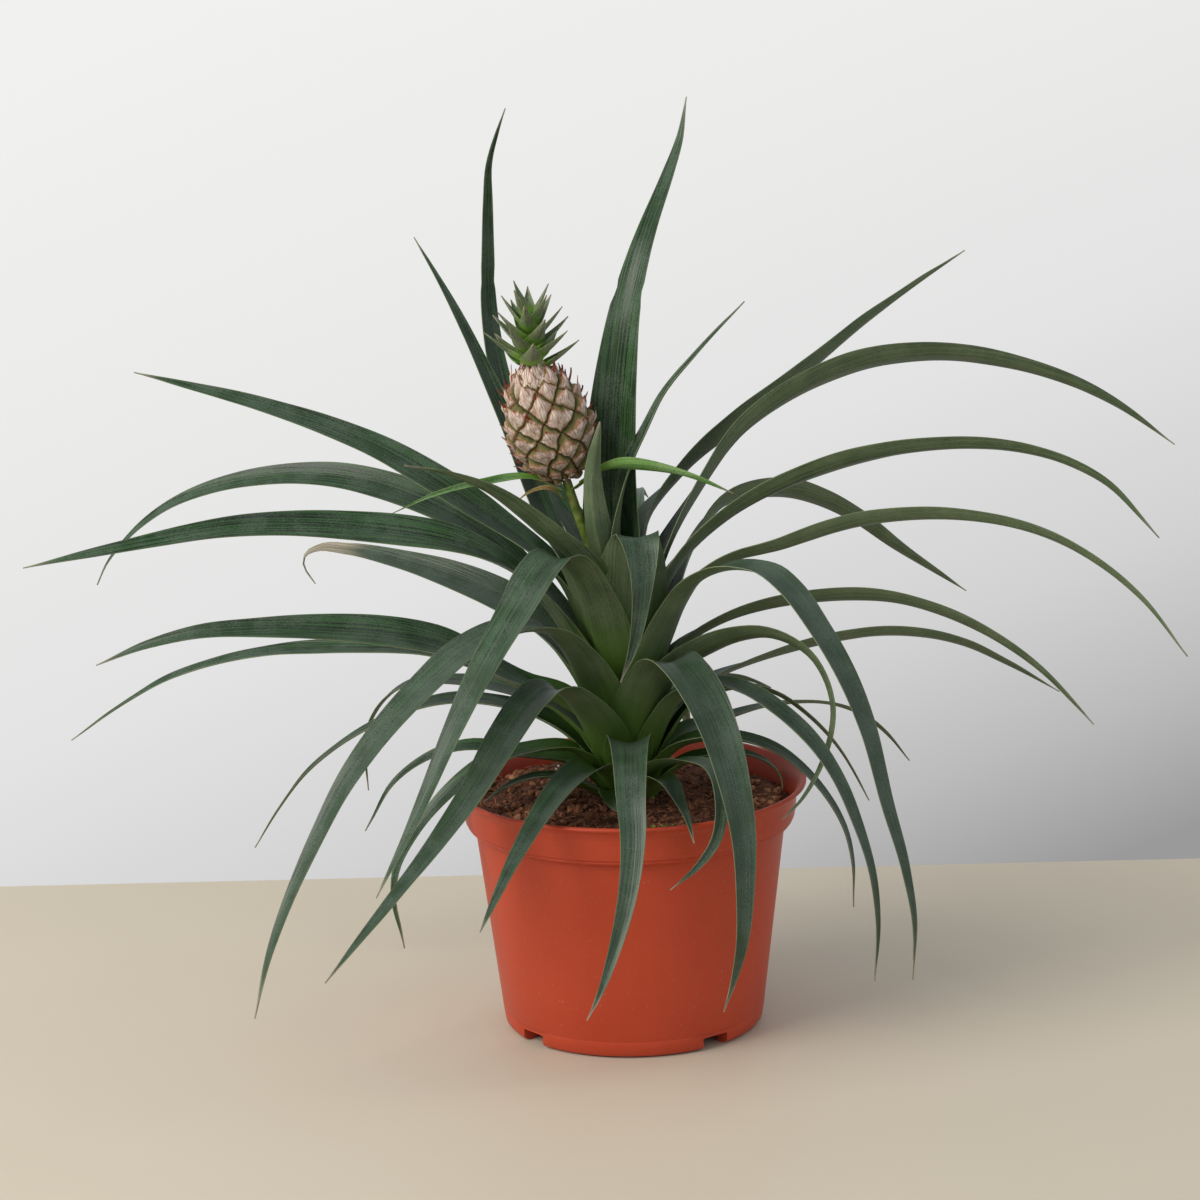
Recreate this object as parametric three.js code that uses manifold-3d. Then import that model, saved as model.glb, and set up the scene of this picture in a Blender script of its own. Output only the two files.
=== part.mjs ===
// A young pineapple plant with one small fruit, growing in a plastic nursery pot.
// Millimetres, +Z up. The origin is the centre of the pot's foot, on the surface that it stands on.
// Headings are degrees about Z from +X, so that 270 points to the plant's front.
import * as THREE from "three";
import { mergeVertices } from "three/addons/utils/BufferGeometryUtils.js";
import Module from "manifold-3d";

const wasm = await Module();
wasm.setup();

// ---- Driving dimensions ----
const GAP = 0.3; // between pieces that touch
const RIM_RADIUS = 76;
const POT_HEIGHT = 107;
const FOOT_RADIUS = 56.2;
const CONE_TOP_RADIUS = 66.5;
const BAND_RADIUS = 71.2;
const BAND_BOTTOM = 88;
const WALL = 1.5;
const POT_SIDES = 48;
const FLOOR_UNDERSIDE = 6.6;
const FLOOR_TOP = 8.2;
const FOOT_RING_INSIDE = 48.9;
const FOOT_RING_OUTSIDE = 51.5;
const NOTCH_COUNT = 4;
const NOTCH_WIDTH = 12;
const NOTCH_HEIGHT = 6;
const FIRST_NOTCH = 38;
const DRAIN_COUNT = 8;
const DRAIN_RADIUS = 4;
const DRAIN_CIRCLE = 38;
const SOIL_LEVEL = 99;
const SOIL_HEAP = 3; // a low heap at the back left
const HEAP_PLACE = new THREE.Vector2(-30, 35);
const HEAP_SPREAD = 22;
const SOIL_RIPPLE = 0.5;
const STEM_BOTTOM = 72;
const STEM_TOP = 184;
const STEM_RADIUS = 11;
const STEM_TOP_RADIUS = 7;
const STEM_LEAN = -0.08; // drift to the left for each millimetre above the soil
const PEDUNCLE_RADIUS = 2.8;
const FRUIT_FOOT = new THREE.Vector3(-24, 0, 240);
const FRUIT_HEAD = new THREE.Vector3(-37.5, 0, 287.5);
const FRUIT_RADIUS = 19;
const FRUIT_ROWS = 7;
const FRUIT_EYES = 8;
const EYE_BULGE = 0.05; // as a share of the fruit's radius
const CROWN_HEIGHT = 36;
const CROWN_LEAVES = 18;
const CROWN_WIDEST = 8;
const LEAF_THICKNESS = 1.1;
const SHEATH = 60; // the length over which a leaf's foot opens from its clasp to its channel
const LEAF_STEP = 34; // the longest straight stretch of a leaf's mesh
const LEAF_TURN = 0.5; // the most that it bends from one section to the next, in radians
const LEAF_TWIST = 0.1; // and the most that it rolls, which keeps its two faces from crossing
const CLASP = 0.76; // half the angle that a leaf's foot wraps about the stem, in radians
const CHANNEL = 0.52; // half the angle that a leaf's channelled section spans, in radians
const TAPER_START = 0.35; // the share of a leaf's length at which it begins to narrow
const FOOT_SPREAD = 1.15; // how much broader a leaf is at its foot
const TIP_THINNING = 0.45; // the thickness that is left at its tip, as a share

// ---- Leaves ----
// foot is the height at which the leaf joins the stem, width its greatest width and roll its turn about its
// own length. path holds the points that its midrib passes: [reach from the pot's axis, height, drift to its
// left].
const LEAVES = [
  { name: "leaf_top_1", heading: 60, foot: 178, width: 19, roll: 0,
    path: [[3, 200, 3.5], [1, 235, 5], [4, 273, 4], [9, 306, 2], [19, 331], [36, 352], [54, 373],
      [62, 393]] },
  { name: "leaf_top_2", heading: 128, foot: 174, width: 14, roll: 0,
    path: [[15, 188, 0], [25, 201, -2], [40, 214, -3], [60, 234], [84, 268], [92, 305],
      [90, 340], [90, 356], [86, 370], [75, 389]] },
  { name: "leaf_top_3", heading: 150, foot: 162.5, width: 13, roll: -20,
    path: [[19, 187], [36, 213], [58, 263], [83, 310], [100, 336]] },
  { name: "leaf_top_4", heading: 340, foot: 171, width: 9, roll: 35,
    path: [[5, 190, -4.5], [0, 213, -6], [3, 239, -6], [11, 259, -3], [18, 276, 5], [47, 312, 25]] },
  { name: "leaf_left_1", heading: 172, foot: 157, width: 18, roll: -40,
    path: [[20, 177], [30, 198], [54, 219], [104, 251], [155, 270], [209, 284]] },
  { name: "leaf_left_2", heading: 212, foot: 168.5, width: 18, roll: 20,
    path: [[17.5, 197], [37, 219], [70, 245], [105, 258]] },
  { name: "leaf_left_3", heading: 156, foot: 139, width: 18, roll: -40,
    path: [[30, 174], [58, 204], [86, 220], [134, 231], [184, 226], [225, 210], [252, 186], [259, 174]] },
  { name: "leaf_left_4", heading: 192, foot: 144, width: 19, roll: -45,
    path: [[28, 177], [44, 199], [70, 215], [113, 225], [163, 229], [211, 224], [253, 218]] },
  { name: "leaf_left_5", heading: 150, foot: 135, width: 17, roll: -35,
    path: [[35, 165], [62, 181], [113, 193], [157, 194], [164, 188], [158, 178]] },
  { name: "leaf_left_6", heading: 180, foot: 124, width: 19, roll: -42,
    path: [[22, 137], [46, 150], [75, 167], [96, 173], [139, 177], [190, 175], [226, 163]] },
  { name: "leaf_left_7", heading: 160, foot: 119, width: 14, roll: -20,
    path: [[24, 130], [45, 143], [86, 157], [128, 157], [176, 151], [220, 136], [266, 106]] },
  { name: "leaf_left_8", heading: 152, foot: 112.4, width: 12, roll: -20,
    path: [[33, 127], [60, 134], [93, 132], [134, 114], [166, 89], [192, 54]] },
  { name: "leaf_left_9", heading: 142, foot: 115, width: 11, roll: -20,
    path: [[30, 130], [53, 136], [87, 138], [128, 130], [148, 107], [149, 79]] },
  { name: "leaf_left_10", heading: 182, foot: 104, width: 10, roll: -20,
    path: [[22, 114], [46, 120], [72, 124], [98, 112], [114, 88]] },
  { name: "leaf_left_11", heading: 197, foot: 109.2, width: 11, roll: -20,
    path: [[24, 122], [48, 124], [66, 119], [90, 100], [105, 75], [102, 43]] },
  { name: "leaf_front_1", heading: 264, foot: 177, width: 10, roll: 0,
    path: [[11.5, 197, -6.5], [16, 220, -9.5], [18, 242, -11], [20, 267, -7]] },
  { name: "leaf_front_2", heading: 282, foot: 156, width: 16, roll: 0,
    path: [[15, 190], [20, 212], [27, 219], [34, 207], [38, 180, -4], [38, 160, -11]] },
  { name: "leaf_front_3", heading: 231, foot: 149.5, width: 19, roll: 0,
    path: [[22, 182], [33, 205], [46, 213], [61, 203], [86, 182], [113, 154], [139, 122], [164, 96]] },
  { name: "leaf_front_4", heading: 215, foot: 128.3, width: 22, roll: 0,
    path: [[28, 165], [42, 179], [69, 180], [105, 162], [140, 132], [161, 102], [179, 71], [190, 40]] },
  { name: "leaf_front_5", heading: 298, foot: 120.5, width: 20, roll: 0,
    path: [[24, 153], [38, 167], [68, 155], [95, 112], [105, 73, -5], [105, 54, -8], [100, 33, -12]] },
  { name: "leaf_front_6", heading: 225, foot: 114.5, width: 18, roll: 0,
    path: [[27, 141], [46, 156], [70, 141], [94, 118], [135, 88], [177, 60]] },
  { name: "leaf_front_7", heading: 270, foot: 111, width: 15, roll: 0,
    path: [[24, 127], [40, 134], [60, 135], [82, 124], [98, 100], [110, 75, -6], [118, 56, -12],
      [124, 41, -20]] },
  { name: "leaf_front_8", heading: 243, foot: 105.3, width: 14, roll: 0,
    path: [[24, 117], [40, 121], [64, 119], [101, 103], [137, 79]] },
  { name: "leaf_front_9", heading: 290, foot: 103.6, width: 10, roll: 0,
    path: [[24, 117, 2], [45, 125, 8], [65, 127, 13], [82, 120, 10], [92, 106, 4], [98, 97, -6],
      [105, 90, -22]] },
  { name: "leaf_front_10", heading: 292, foot: 101, width: 9, roll: 0,
    path: [[25, 113], [45, 117, -1], [66, 113, -4], [77, 110, -6], [88, 103, -8]] },
  { name: "leaf_front_11", heading: 200, foot: 101, width: 9, roll: 0,
    path: [[24, 108], [38, 113], [55, 111], [66, 105]] },
  { name: "leaf_front_12", heading: 248, foot: 101, width: 6, roll: 0,
    path: [[22, 108], [35, 110, 4], [44, 108, 10], [46, 104, 18]] },
  { name: "leaf_right_1", heading: 38, foot: 164.5, width: 19, roll: -30,
    path: [[11, 200, 4], [17, 218, 5], [36, 236, 3], [58, 250], [102, 271], [146, 293], [197, 314]] },
  { name: "leaf_right_2", heading: 22, foot: 158, width: 17, roll: -30,
    path: [[19, 204], [36, 231], [59, 256], [107, 277], [157, 278], [221, 258], [266, 228]] },
  { name: "leaf_right_3", heading: 2, foot: 151, width: 17, roll: -30,
    path: [[20, 196], [41, 218], [75, 236], [118, 247], [168, 246], [203, 232], [228, 206]] },
  { name: "leaf_right_4", heading: 40, foot: 141.5, width: 14, roll: -30,
    path: [[22, 166], [34, 196], [55, 218], [90, 220], [126, 207], [162, 183], [204, 156]] },
  { name: "leaf_right_5", heading: 352, foot: 144.5, width: 15, roll: -30,
    path: [[20, 182], [42, 202], [66, 209], [100, 220], [138, 223], [179, 215], [213, 193], [237, 164]] },
  { name: "leaf_right_6", heading: 318, foot: 137, width: 18, roll: 0,
    path: [[24, 176], [36, 196], [53, 206], [80, 208], [103, 190], [124, 162], [139, 122], [153, 78],
      [153, 48]] },
  { name: "leaf_right_7", heading: 6, foot: 131, width: 13, roll: -20,
    path: [[20, 160], [40, 174], [75, 182], [114, 181], [149, 168], [179, 147], [203, 121]] },
  { name: "leaf_right_8", heading: 33, foot: 121, width: 11, roll: -20,
    path: [[25, 136], [46, 145], [91, 151], [135, 151], [180, 140], [237, 108]] },
  { name: "leaf_right_9", heading: 338, foot: 126.5, width: 14, roll: 0,
    path: [[19, 152], [39, 168], [63, 175], [83, 167], [92, 147], [88, 124], [83, 109, -14],
      [80, 104, -29]] },
  { name: "leaf_right_10", heading: 326, foot: 115, width: 14, roll: 0,
    path: [[28, 148], [49, 155], [71, 149], [96, 131], [112, 105], [122, 72], [121, 36]] },
  { name: "leaf_right_11", heading: 48, foot: 114.5, width: 9, roll: -20,
    path: [[25, 132], [55, 141], [77, 136], [96, 128]] },
  { name: "leaf_right_12", heading: 8, foot: 112, width: 10, roll: -10,
    path: [[28, 139], [51, 145], [63, 142], [77, 132], [94, 112], [105, 91]] },
  { name: "leaf_right_13", heading: 35, foot: 109, width: 10, roll: -10,
    path: [[28, 122], [49, 125], [76, 127], [110, 122], [135, 109], [155, 88]] },
  { name: "leaf_right_14", heading: 342, foot: 105, width: 12, roll: 0,
    path: [[20, 121], [41, 128], [65, 124], [85, 108], [97, 86], [99, 57]] },
  { name: "leaf_right_15", heading: 354, foot: 101, width: 10, roll: 0,
    path: [[20, 112], [36, 118], [56, 117], [65, 109], [66, 103]] },
  { name: "leaf_back_1", heading: 86, foot: 126, width: 16, roll: 0,
    path: [[30, 175], [52, 203], [84, 214], [112, 211], [132, 203, -3]] },
  { name: "leaf_back_2", heading: 93, foot: 116.8, width: 15, roll: 0,
    path: [[28, 145], [50, 163], [80, 164], [105, 147], [126, 118]] },
  { name: "leaf_back_3", heading: 76, foot: 103, width: 13, roll: 0,
    path: [[30, 120], [54, 133], [82, 130], [106, 112], [124, 86]] },
  { name: "leaf_back_4", heading: 100, foot: 108.5, width: 13, roll: 0,
    path: [[27, 130], [50, 143], [80, 144], [106, 128], [126, 101]] },
];

// Three narrow bracts under the fruit: the same terms, with the foot's height on the fruit's stalk.
const BRACTS = [
  { name: "bract_left", heading: 186, foot: 235, width: 3.4, roll: -60,
    path: [[40, 241.5], [60, 240], [77, 236.5], [98, 228]] },
  { name: "bract_right", heading: 352, foot: 236, width: 5.4, roll: -50,
    path: [[-8, 244, -9], [4, 248, -15], [18, 246.5, -15], [31, 243, -14], [48, 235, -11]] },
  { name: "bract_small", heading: 200, foot: 231, width: 2.6, roll: -40,
    path: [[33, 238], [40, 237.5], [48, 233]] },
];

const mix = THREE.MathUtils.lerp;
const smooth = THREE.MathUtils.smoothstep;
const rad = THREE.MathUtils.degToRad;
const UP = new THREE.Vector3(0, 0, 1);
const heading = (degrees) => new THREE.Vector3(Math.cos(rad(degrees)), Math.sin(rad(degrees)), 0);

// ---- Closed surfaces ----
// A closed geometry from points and triangles, turned so that its faces point outwards.
function closed(points, triangles) {
  let volume = 0;
  for (const [a, b, c] of triangles) {
    volume += points[a].dot(new THREE.Vector3().crossVectors(points[b], points[c]));
  }
  const outward = volume > 0 ? triangles : triangles.map(([a, b, c]) => [a, c, b]);
  const geometry = new THREE.BufferGeometry().setFromPoints(points);
  geometry.setIndex(outward.flat());
  return geometry;
}

// The triangles that close an open ring of points by pairing those that face each other.
function lid(first, count) {
  const triangles = [];
  for (let k = 0; k < count / 2; k++) {
    const [a, b] = [first + k, first + k + 1];
    const [c, d] = [first + (count - k) % count, first + count - k - 1];
    if (a !== c) triangles.push([a, b, c]);
    if (b !== d) triangles.push([b, d, c]);
  }
  return triangles;
}

// A skin over rings of equal length, closed at each end by a lid, or by one point where it is given.
function skin(rings, firstPoint, lastPoint) {
  const count = rings[0].length;
  const points = rings.flat();
  const triangles = [];
  for (let i = 0; i + 1 < rings.length; i++) {
    for (let k = 0; k < count; k++) {
      const [a, b] = [i * count + k, i * count + ((k + 1) % count)];
      triangles.push([a, b, b + count], [a, b + count, a + count]);
    }
  }
  const lastRing = (rings.length - 1) * count;
  const close = (ring, point, turned) => {
    const found = point
      ? Array.from({ length: count }, (_, k) => [ring + k, points.length, ring + ((k + 1) % count)])
      : lid(ring, count).map(([a, b, c]) => [a, c, b]);
    if (point) points.push(point);
    triangles.push(...(turned ? found.map(([a, b, c]) => [a, c, b]) : found));
  };
  close(0, firstPoint, false);
  close(lastRing, lastPoint, true);
  return closed(points, triangles);
}

// A round ring about a centre, square to a direction.
function ringAbout(centre, direction, radius, sides) {
  const across = new THREE.Vector3(0, 1, 0);
  const over = new THREE.Vector3().crossVectors(direction, across).normalize();
  return Array.from({ length: sides }, (_, k) => {
    const turn = (2 * Math.PI * k) / sides;
    const reach = typeof radius === "function" ? radius(turn) : radius;
    return centre.clone()
      .addScaledVector(over, reach * Math.cos(turn))
      .addScaledVector(across, reach * Math.sin(turn));
  });
}

// ---- Booleans ----
function toManifold(geometry) {
  const bare = geometry.clone();
  bare.deleteAttribute("normal");
  bare.deleteAttribute("uv");
  const merged = mergeVertices(bare, 1e-3);
  return new wasm.Manifold(new wasm.Mesh({
    numProp: 3,
    vertProperties: merged.attributes.position.array,
    triVerts: new Uint32Array(merged.index.array),
  }));
}

function toGeometry(solid) {
  const mesh = solid.getMesh();
  return new THREE.BufferGeometry()
    .setAttribute("position", new THREE.BufferAttribute(mesh.vertProperties, 3))
    .setIndex(new THREE.BufferAttribute(mesh.triVerts, 1));
}

// ---- Pot ----
const INNER_WALL = [
  [54, FLOOR_TOP],
  [55.2, FLOOR_TOP + 1.8],
  [CONE_TOP_RADIUS - WALL, BAND_BOTTOM],
  [BAND_RADIUS - WALL - 0.9, BAND_BOTTOM + 4.2],
  [BAND_RADIUS - WALL, BAND_BOTTOM + 6.4],
  [BAND_RADIUS - 0.7, POT_HEIGHT - 5.6],
  [BAND_RADIUS + 0.8, POT_HEIGHT - 2.6],
  [RIM_RADIUS - 1.4, POT_HEIGHT - 0.3],
];

function pot() {
  const outerWall = [
    [FOOT_RING_OUTSIDE, 0],
    [FOOT_RADIUS - 1.6, 1],
    [FOOT_RADIUS - 0.4, 2.6],
    [FOOT_RADIUS, 5],
    [CONE_TOP_RADIUS, BAND_BOTTOM],
    [CONE_TOP_RADIUS + 1.2, BAND_BOTTOM + 0.8],
    [BAND_RADIUS - 0.8, BAND_BOTTOM + 3.5],
    [BAND_RADIUS, BAND_BOTTOM + 6],
    [BAND_RADIUS + 0.8, POT_HEIGHT - 6],
    [BAND_RADIUS + 2.2, POT_HEIGHT - 2.8],
    [RIM_RADIUS, POT_HEIGHT - 0.8],
    [RIM_RADIUS - 0.4, POT_HEIGHT],
  ];
  const profile = [
    [0, FLOOR_UNDERSIDE],
    [FOOT_RING_INSIDE - 0.6, FLOOR_UNDERSIDE],
    [FOOT_RING_INSIDE, 0],
    ...outerWall,
    ...INNER_WALL.toReversed(),
    [0, FLOOR_TOP],
  ];
  const shell = new THREE.LatheGeometry(profile.map(([r, z]) => new THREE.Vector2(r, z)), POT_SIDES);
  let solid = toManifold(shell.rotateX(Math.PI / 2));
  for (let k = 0; k < NOTCH_COUNT; k++) {
    const turn = FIRST_NOTCH + (360 * k) / NOTCH_COUNT;
    const notch = new THREE.BoxGeometry(2 * NOTCH_WIDTH, NOTCH_WIDTH, 2 * NOTCH_HEIGHT);
    notch.translate(FOOT_RADIUS, 0, 0).rotateZ(rad(turn));
    solid = solid.subtract(toManifold(notch));
  }
  for (let k = 0; k < DRAIN_COUNT; k++) {
    const turn = FIRST_NOTCH + (360 * k) / DRAIN_COUNT;
    const drain = new THREE.CylinderGeometry(DRAIN_RADIUS, DRAIN_RADIUS, 4 * WALL, 12);
    drain.rotateX(Math.PI / 2).translate(DRAIN_CIRCLE, 0, FLOOR_UNDERSIDE).rotateZ(rad(turn));
    solid = solid.subtract(toManifold(drain));
  }
  return toGeometry(solid);
}

// ---- Stem and growing medium ----
const stemAxis = (z) => new THREE.Vector3(STEM_LEAN * (z - SOIL_LEVEL), 0, z);
const stemRadius = (z) => mix(STEM_RADIUS, STEM_TOP_RADIUS, smooth(z, SOIL_LEVEL + 20, STEM_TOP));
const STEM_HEIGHTS = [STEM_BOTTOM, SOIL_LEVEL, SOIL_LEVEL + 20, 134, 148, 162, 174, STEM_TOP - 3];

function stemRings(extra) {
  return STEM_HEIGHTS.map((z) => ringAbout(stemAxis(z), UP, stemRadius(z) + extra, 16));
}

function stem() {
  return skin(stemRings(0), stemAxis(STEM_BOTTOM - 3), stemAxis(STEM_TOP));
}

// The medium fills the pot to a little under its rim.
function growingMedium() {
  const wall = INNER_WALL.filter(([, z]) => z < SOIL_LEVEL);
  const sides = wall.map(([r, z]) => [r - GAP, Math.max(z, FLOOR_TOP + GAP)]);
  const uneven = (point) => {
    const distance = Math.hypot(point.x - HEAP_PLACE.x, point.y - HEAP_PLACE.y);
    point.z += SOIL_HEAP * Math.exp(-((distance / HEAP_SPREAD) ** 2));
    point.z += SOIL_RIPPLE * Math.sin(0.2 * point.x) * Math.cos(0.23 * point.y);
    return point;
  };
  const round = ([r, z]) => ringAbout(new THREE.Vector3(0, 0, z), UP, r, POT_SIDES);
  const edge = [BAND_RADIUS - WALL - GAP - 0.2, SOIL_LEVEL - 1.5];
  const top = [[62, SOIL_LEVEL], [46, SOIL_LEVEL], [30, SOIL_LEVEL], [20, SOIL_LEVEL]];
  const rings = [...sides, edge].map(round).concat(top.map((ring) => round(ring).map(uneven)));
  const body = skin(rings, new THREE.Vector3(0, 0, FLOOR_TOP + GAP), new THREE.Vector3(0, 0, SOIL_LEVEL));
  const socket = skin(stemRings(GAP), stemAxis(STEM_BOTTOM - 3 - GAP), stemAxis(STEM_TOP + GAP));
  return toGeometry(toManifold(body).subtract(toManifold(socket)));
}

// ---- Leaves ----
const rollAt = (roll, place) => rad(roll) * smooth(place, 0.12, 0.5);

// Sections are set closer where the blade bends or rolls, so that a tight curl keeps its shape.
function sectionPlaces(curve, roll) {
  const length = curve.getLength();
  const fine = 200;
  const places = [0];
  let due = 0;
  for (let i = 1; i <= fine; i++) {
    const bend = curve.getTangentAt((i - 1) / fine).angleTo(curve.getTangentAt(i / fine));
    const twist = Math.abs(rollAt(roll, i / fine) - rollAt(roll, (i - 1) / fine));
    due += length / fine / LEAF_STEP + bend / LEAF_TURN + twist / LEAF_TWIST;
    if (due >= 1 && i < fine - 4) {
      places.push(i / fine);
      due = 0;
    }
  }
  return places;
}

// A channelled blade along a curve. The section wraps about the foot's axis and opens out along the blade.
function blade(curve, side, { width, roll, footRadius, thickness, sheath }) {
  const length = curve.getLength();
  const rings = sectionPlaces(curve, roll).map((place) => {
    const along = curve.getTangentAt(place);
    const opened = smooth(length * place, 0, sheath);
    const across = side.clone().addScaledVector(along, -side.dot(along)).normalize();
    across.applyAxisAngle(along, rollAt(roll, place));
    const inward = new THREE.Vector3().crossVectors(along, across);
    const taper = Math.min(1, (1 - place) / (1 - TAPER_START)) ** 0.8;
    const fullHalf = (width / 2) * mix(FOOT_SPREAD, 1, opened) * taper;
    const radius = mix(footRadius, fullHalf / CHANNEL, opened);
    const half = Math.min(fullHalf, CLASP * radius);
    const depth = thickness * mix(1, TIP_THINNING, place);
    const centre = curve.getPointAt(place).addScaledVector(inward, radius);
    const onSection = (share, out) => {
      const turn = (share * half) / radius;
      return centre.clone()
        .addScaledVector(across, (radius + out) * Math.sin(turn))
        .addScaledVector(inward, -(radius + out) * Math.cos(turn));
    };
    const upper = [-1, -0.5, 0, 0.5, 1].map((share) => onSection(share, 0));
    const under = [0.5, 0, -0.5].map((share) => onSection(share, depth * (1 - 0.3 * Math.abs(share))));
    return [...upper, ...under];
  });
  return skin(rings, null, curve.getPointAt(1));
}

function curveOf({ heading: turn, path }, foot) {
  const ahead = heading(turn);
  const aside = new THREE.Vector3().crossVectors(UP, ahead);
  const points = path.map(([reach, z, drift = 0]) => new THREE.Vector3(0, 0, z)
    .addScaledVector(ahead, reach)
    .addScaledVector(aside, drift));
  return [new THREE.CatmullRomCurve3([foot, ...points], false, "centripetal"), aside];
}

function leaf(row) {
  const footRadius = stemRadius(row.foot) + 2 * GAP;
  const foot = stemAxis(row.foot).addScaledVector(heading(row.heading), footRadius);
  const [curve, aside] = curveOf(row, foot);
  return blade(curve, aside, { ...row, footRadius, thickness: LEAF_THICKNESS, sheath: SHEATH });
}

// ---- Fruit, stalk, crown and bracts ----
const STALK = new THREE.CatmullRomCurve3([
  stemAxis(STEM_TOP + GAP),
  new THREE.Vector3(-10, 0, 197),
  new THREE.Vector3(-17, 0, 217),
  FRUIT_FOOT.clone().addScaledVector(UP, -GAP),
]);

function peduncle() {
  const steps = 8;
  const rings = Array.from({ length: steps + 1 }, (_, i) => (
    ringAbout(STALK.getPointAt(i / steps), STALK.getTangentAt(i / steps), PEDUNCLE_RADIUS, 10)
  ));
  return skin(rings);
}

// The fruit is one body of fused eyes, set in staggered rows that bulge between their grooves.
const FRUIT_AXIS = FRUIT_HEAD.clone().sub(FRUIT_FOOT).normalize();
function fruit() {
  const length = FRUIT_FOOT.distanceTo(FRUIT_HEAD);
  const levels = 2 * FRUIT_ROWS;
  const rings = Array.from({ length: levels + 1 }, (_, i) => {
    const share = mix(0.015, 0.985, i / levels);
    const body = FRUIT_RADIUS * Math.sin(Math.PI * share ** 0.92) ** 0.55;
    const swell = EYE_BULGE * (i % 2 ? 1 : 0.2);
    const stagger = Math.PI * Math.floor(i / 2);
    const radius = (turn) => body * (1 + swell * Math.cos(FRUIT_EYES * turn + stagger));
    const centre = FRUIT_FOOT.clone().addScaledVector(FRUIT_AXIS, share * length);
    return ringAbout(centre, FRUIT_AXIS, radius, 4 * FRUIT_EYES);
  });
  return skin(rings, FRUIT_FOOT.clone(), FRUIT_HEAD.clone());
}

// The crown is a tuft of short, stiff leaves on a core, all grown as one. It stands straight up.
function crown() {
  const base = FRUIT_HEAD.clone().addScaledVector(FRUIT_AXIS, GAP);
  const at = (height) => base.clone().addScaledVector(UP, height);
  const core = [[0, 6], [6, 6.5], [16, 4.5], [24, 2]];
  const coreRings = core.map(([height, r]) => ringAbout(at(height), UP, r, 10));
  let solid = toManifold(skin(coreRings, null, at(CROWN_HEIGHT - 4)));
  for (let k = 0; k < CROWN_LEAVES; k++) {
    const share = k / (CROWN_LEAVES - 1);
    const ahead = heading(137.5 * k);
    const reach = mix(17, 5, share);
    const rise = mix(9, 16, share);
    const foot = at(mix(2, CROWN_HEIGHT - 18, share)).addScaledVector(ahead, 1);
    const curve = new THREE.CatmullRomCurve3([
      foot,
      foot.clone().addScaledVector(ahead, 0.55 * reach).addScaledVector(UP, 0.45 * rise),
      foot.clone().addScaledVector(ahead, reach).addScaledVector(UP, rise),
    ]);
    const aside = new THREE.Vector3().crossVectors(UP, ahead);
    const width = mix(CROWN_WIDEST, 5, share);
    const shape = { width, roll: 0, footRadius: 6, thickness: 1, sheath: 10 };
    solid = solid.add(toManifold(blade(curve, aside, shape)));
  }
  return toGeometry(solid);
}

function bract(row) {
  const ahead = heading(row.heading);
  const place = (row.foot - STEM_TOP) / (FRUIT_FOOT.z - STEM_TOP);
  const foot = STALK.getPointAt(place).addScaledVector(ahead, PEDUNCLE_RADIUS + 2 * GAP);
  const [curve, aside] = curveOf(row, foot);
  return blade(curve, aside, { ...row, footRadius: 6, thickness: 0.8, sheath: 12 });
}

// ---- Assembly ----
function finish(color, roughness) {
  return new THREE.MeshStandardMaterial({ color, roughness, metalness: 0 });
}
const POT_PLASTIC = finish("#c24a2c", 0.5);
const MEDIUM = finish("#4a2e1e", 1);
const STALK_GREEN = finish("#7d9440", 0.6);
const LEAF_GREEN = finish("#3c5640", 0.55);
const FRUIT_SKIN = finish("#b98a68", 0.7);
const CROWN_GREEN = finish("#7d9a6a", 0.6);
const BRACT_GREEN = finish("#6f9c3e", 0.55);

const plant = new THREE.Group();
function place(name, geometry, material) {
  const mesh = new THREE.Mesh(geometry, material);
  mesh.name = name;
  plant.add(mesh);
}

place("pot", pot(), POT_PLASTIC);
place("growing_medium", growingMedium(), MEDIUM);
place("stem", stem(), STALK_GREEN);
place("peduncle", peduncle(), STALK_GREEN);
place("fruit", fruit(), FRUIT_SKIN);
place("crown", crown(), CROWN_GREEN);
for (const row of BRACTS) place(row.name, bract(row), BRACT_GREEN);
for (const row of LEAVES) place(row.name, leaf(row), LEAF_GREEN);

export default plant;
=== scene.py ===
"""Potted pineapple plant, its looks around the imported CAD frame."""

import math
import random
from bisect import bisect_right

import bmesh
import bpy
from mathutils import Matrix, Vector, noise


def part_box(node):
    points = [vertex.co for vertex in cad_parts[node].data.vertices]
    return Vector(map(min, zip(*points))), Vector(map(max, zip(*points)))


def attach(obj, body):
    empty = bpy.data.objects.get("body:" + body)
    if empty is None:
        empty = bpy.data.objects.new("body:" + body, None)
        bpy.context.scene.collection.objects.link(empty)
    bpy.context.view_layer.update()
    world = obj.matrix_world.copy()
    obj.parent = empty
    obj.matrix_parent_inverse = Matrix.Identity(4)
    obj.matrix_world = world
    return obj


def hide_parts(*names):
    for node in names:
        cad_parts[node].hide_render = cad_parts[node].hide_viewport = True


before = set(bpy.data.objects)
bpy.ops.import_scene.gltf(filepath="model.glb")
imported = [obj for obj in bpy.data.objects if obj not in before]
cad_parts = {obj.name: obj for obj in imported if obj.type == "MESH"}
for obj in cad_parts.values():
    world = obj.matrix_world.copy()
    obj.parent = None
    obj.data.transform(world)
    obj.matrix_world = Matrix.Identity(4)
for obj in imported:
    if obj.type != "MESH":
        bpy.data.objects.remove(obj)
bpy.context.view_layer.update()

MM = 0.001
UP = Vector((0, 0, 1))


# ---- Tools ----
def linear(hex_colour):
    """The linear colour that an sRGB hex value stands for."""
    shares = [int(hex_colour[i : i + 2], 16) / 255 for i in (1, 3, 5)]
    return [c / 12.92 if c <= 0.04045 else ((c + 0.055) / 1.055) ** 2.4 for c in shares] + [1]


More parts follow.
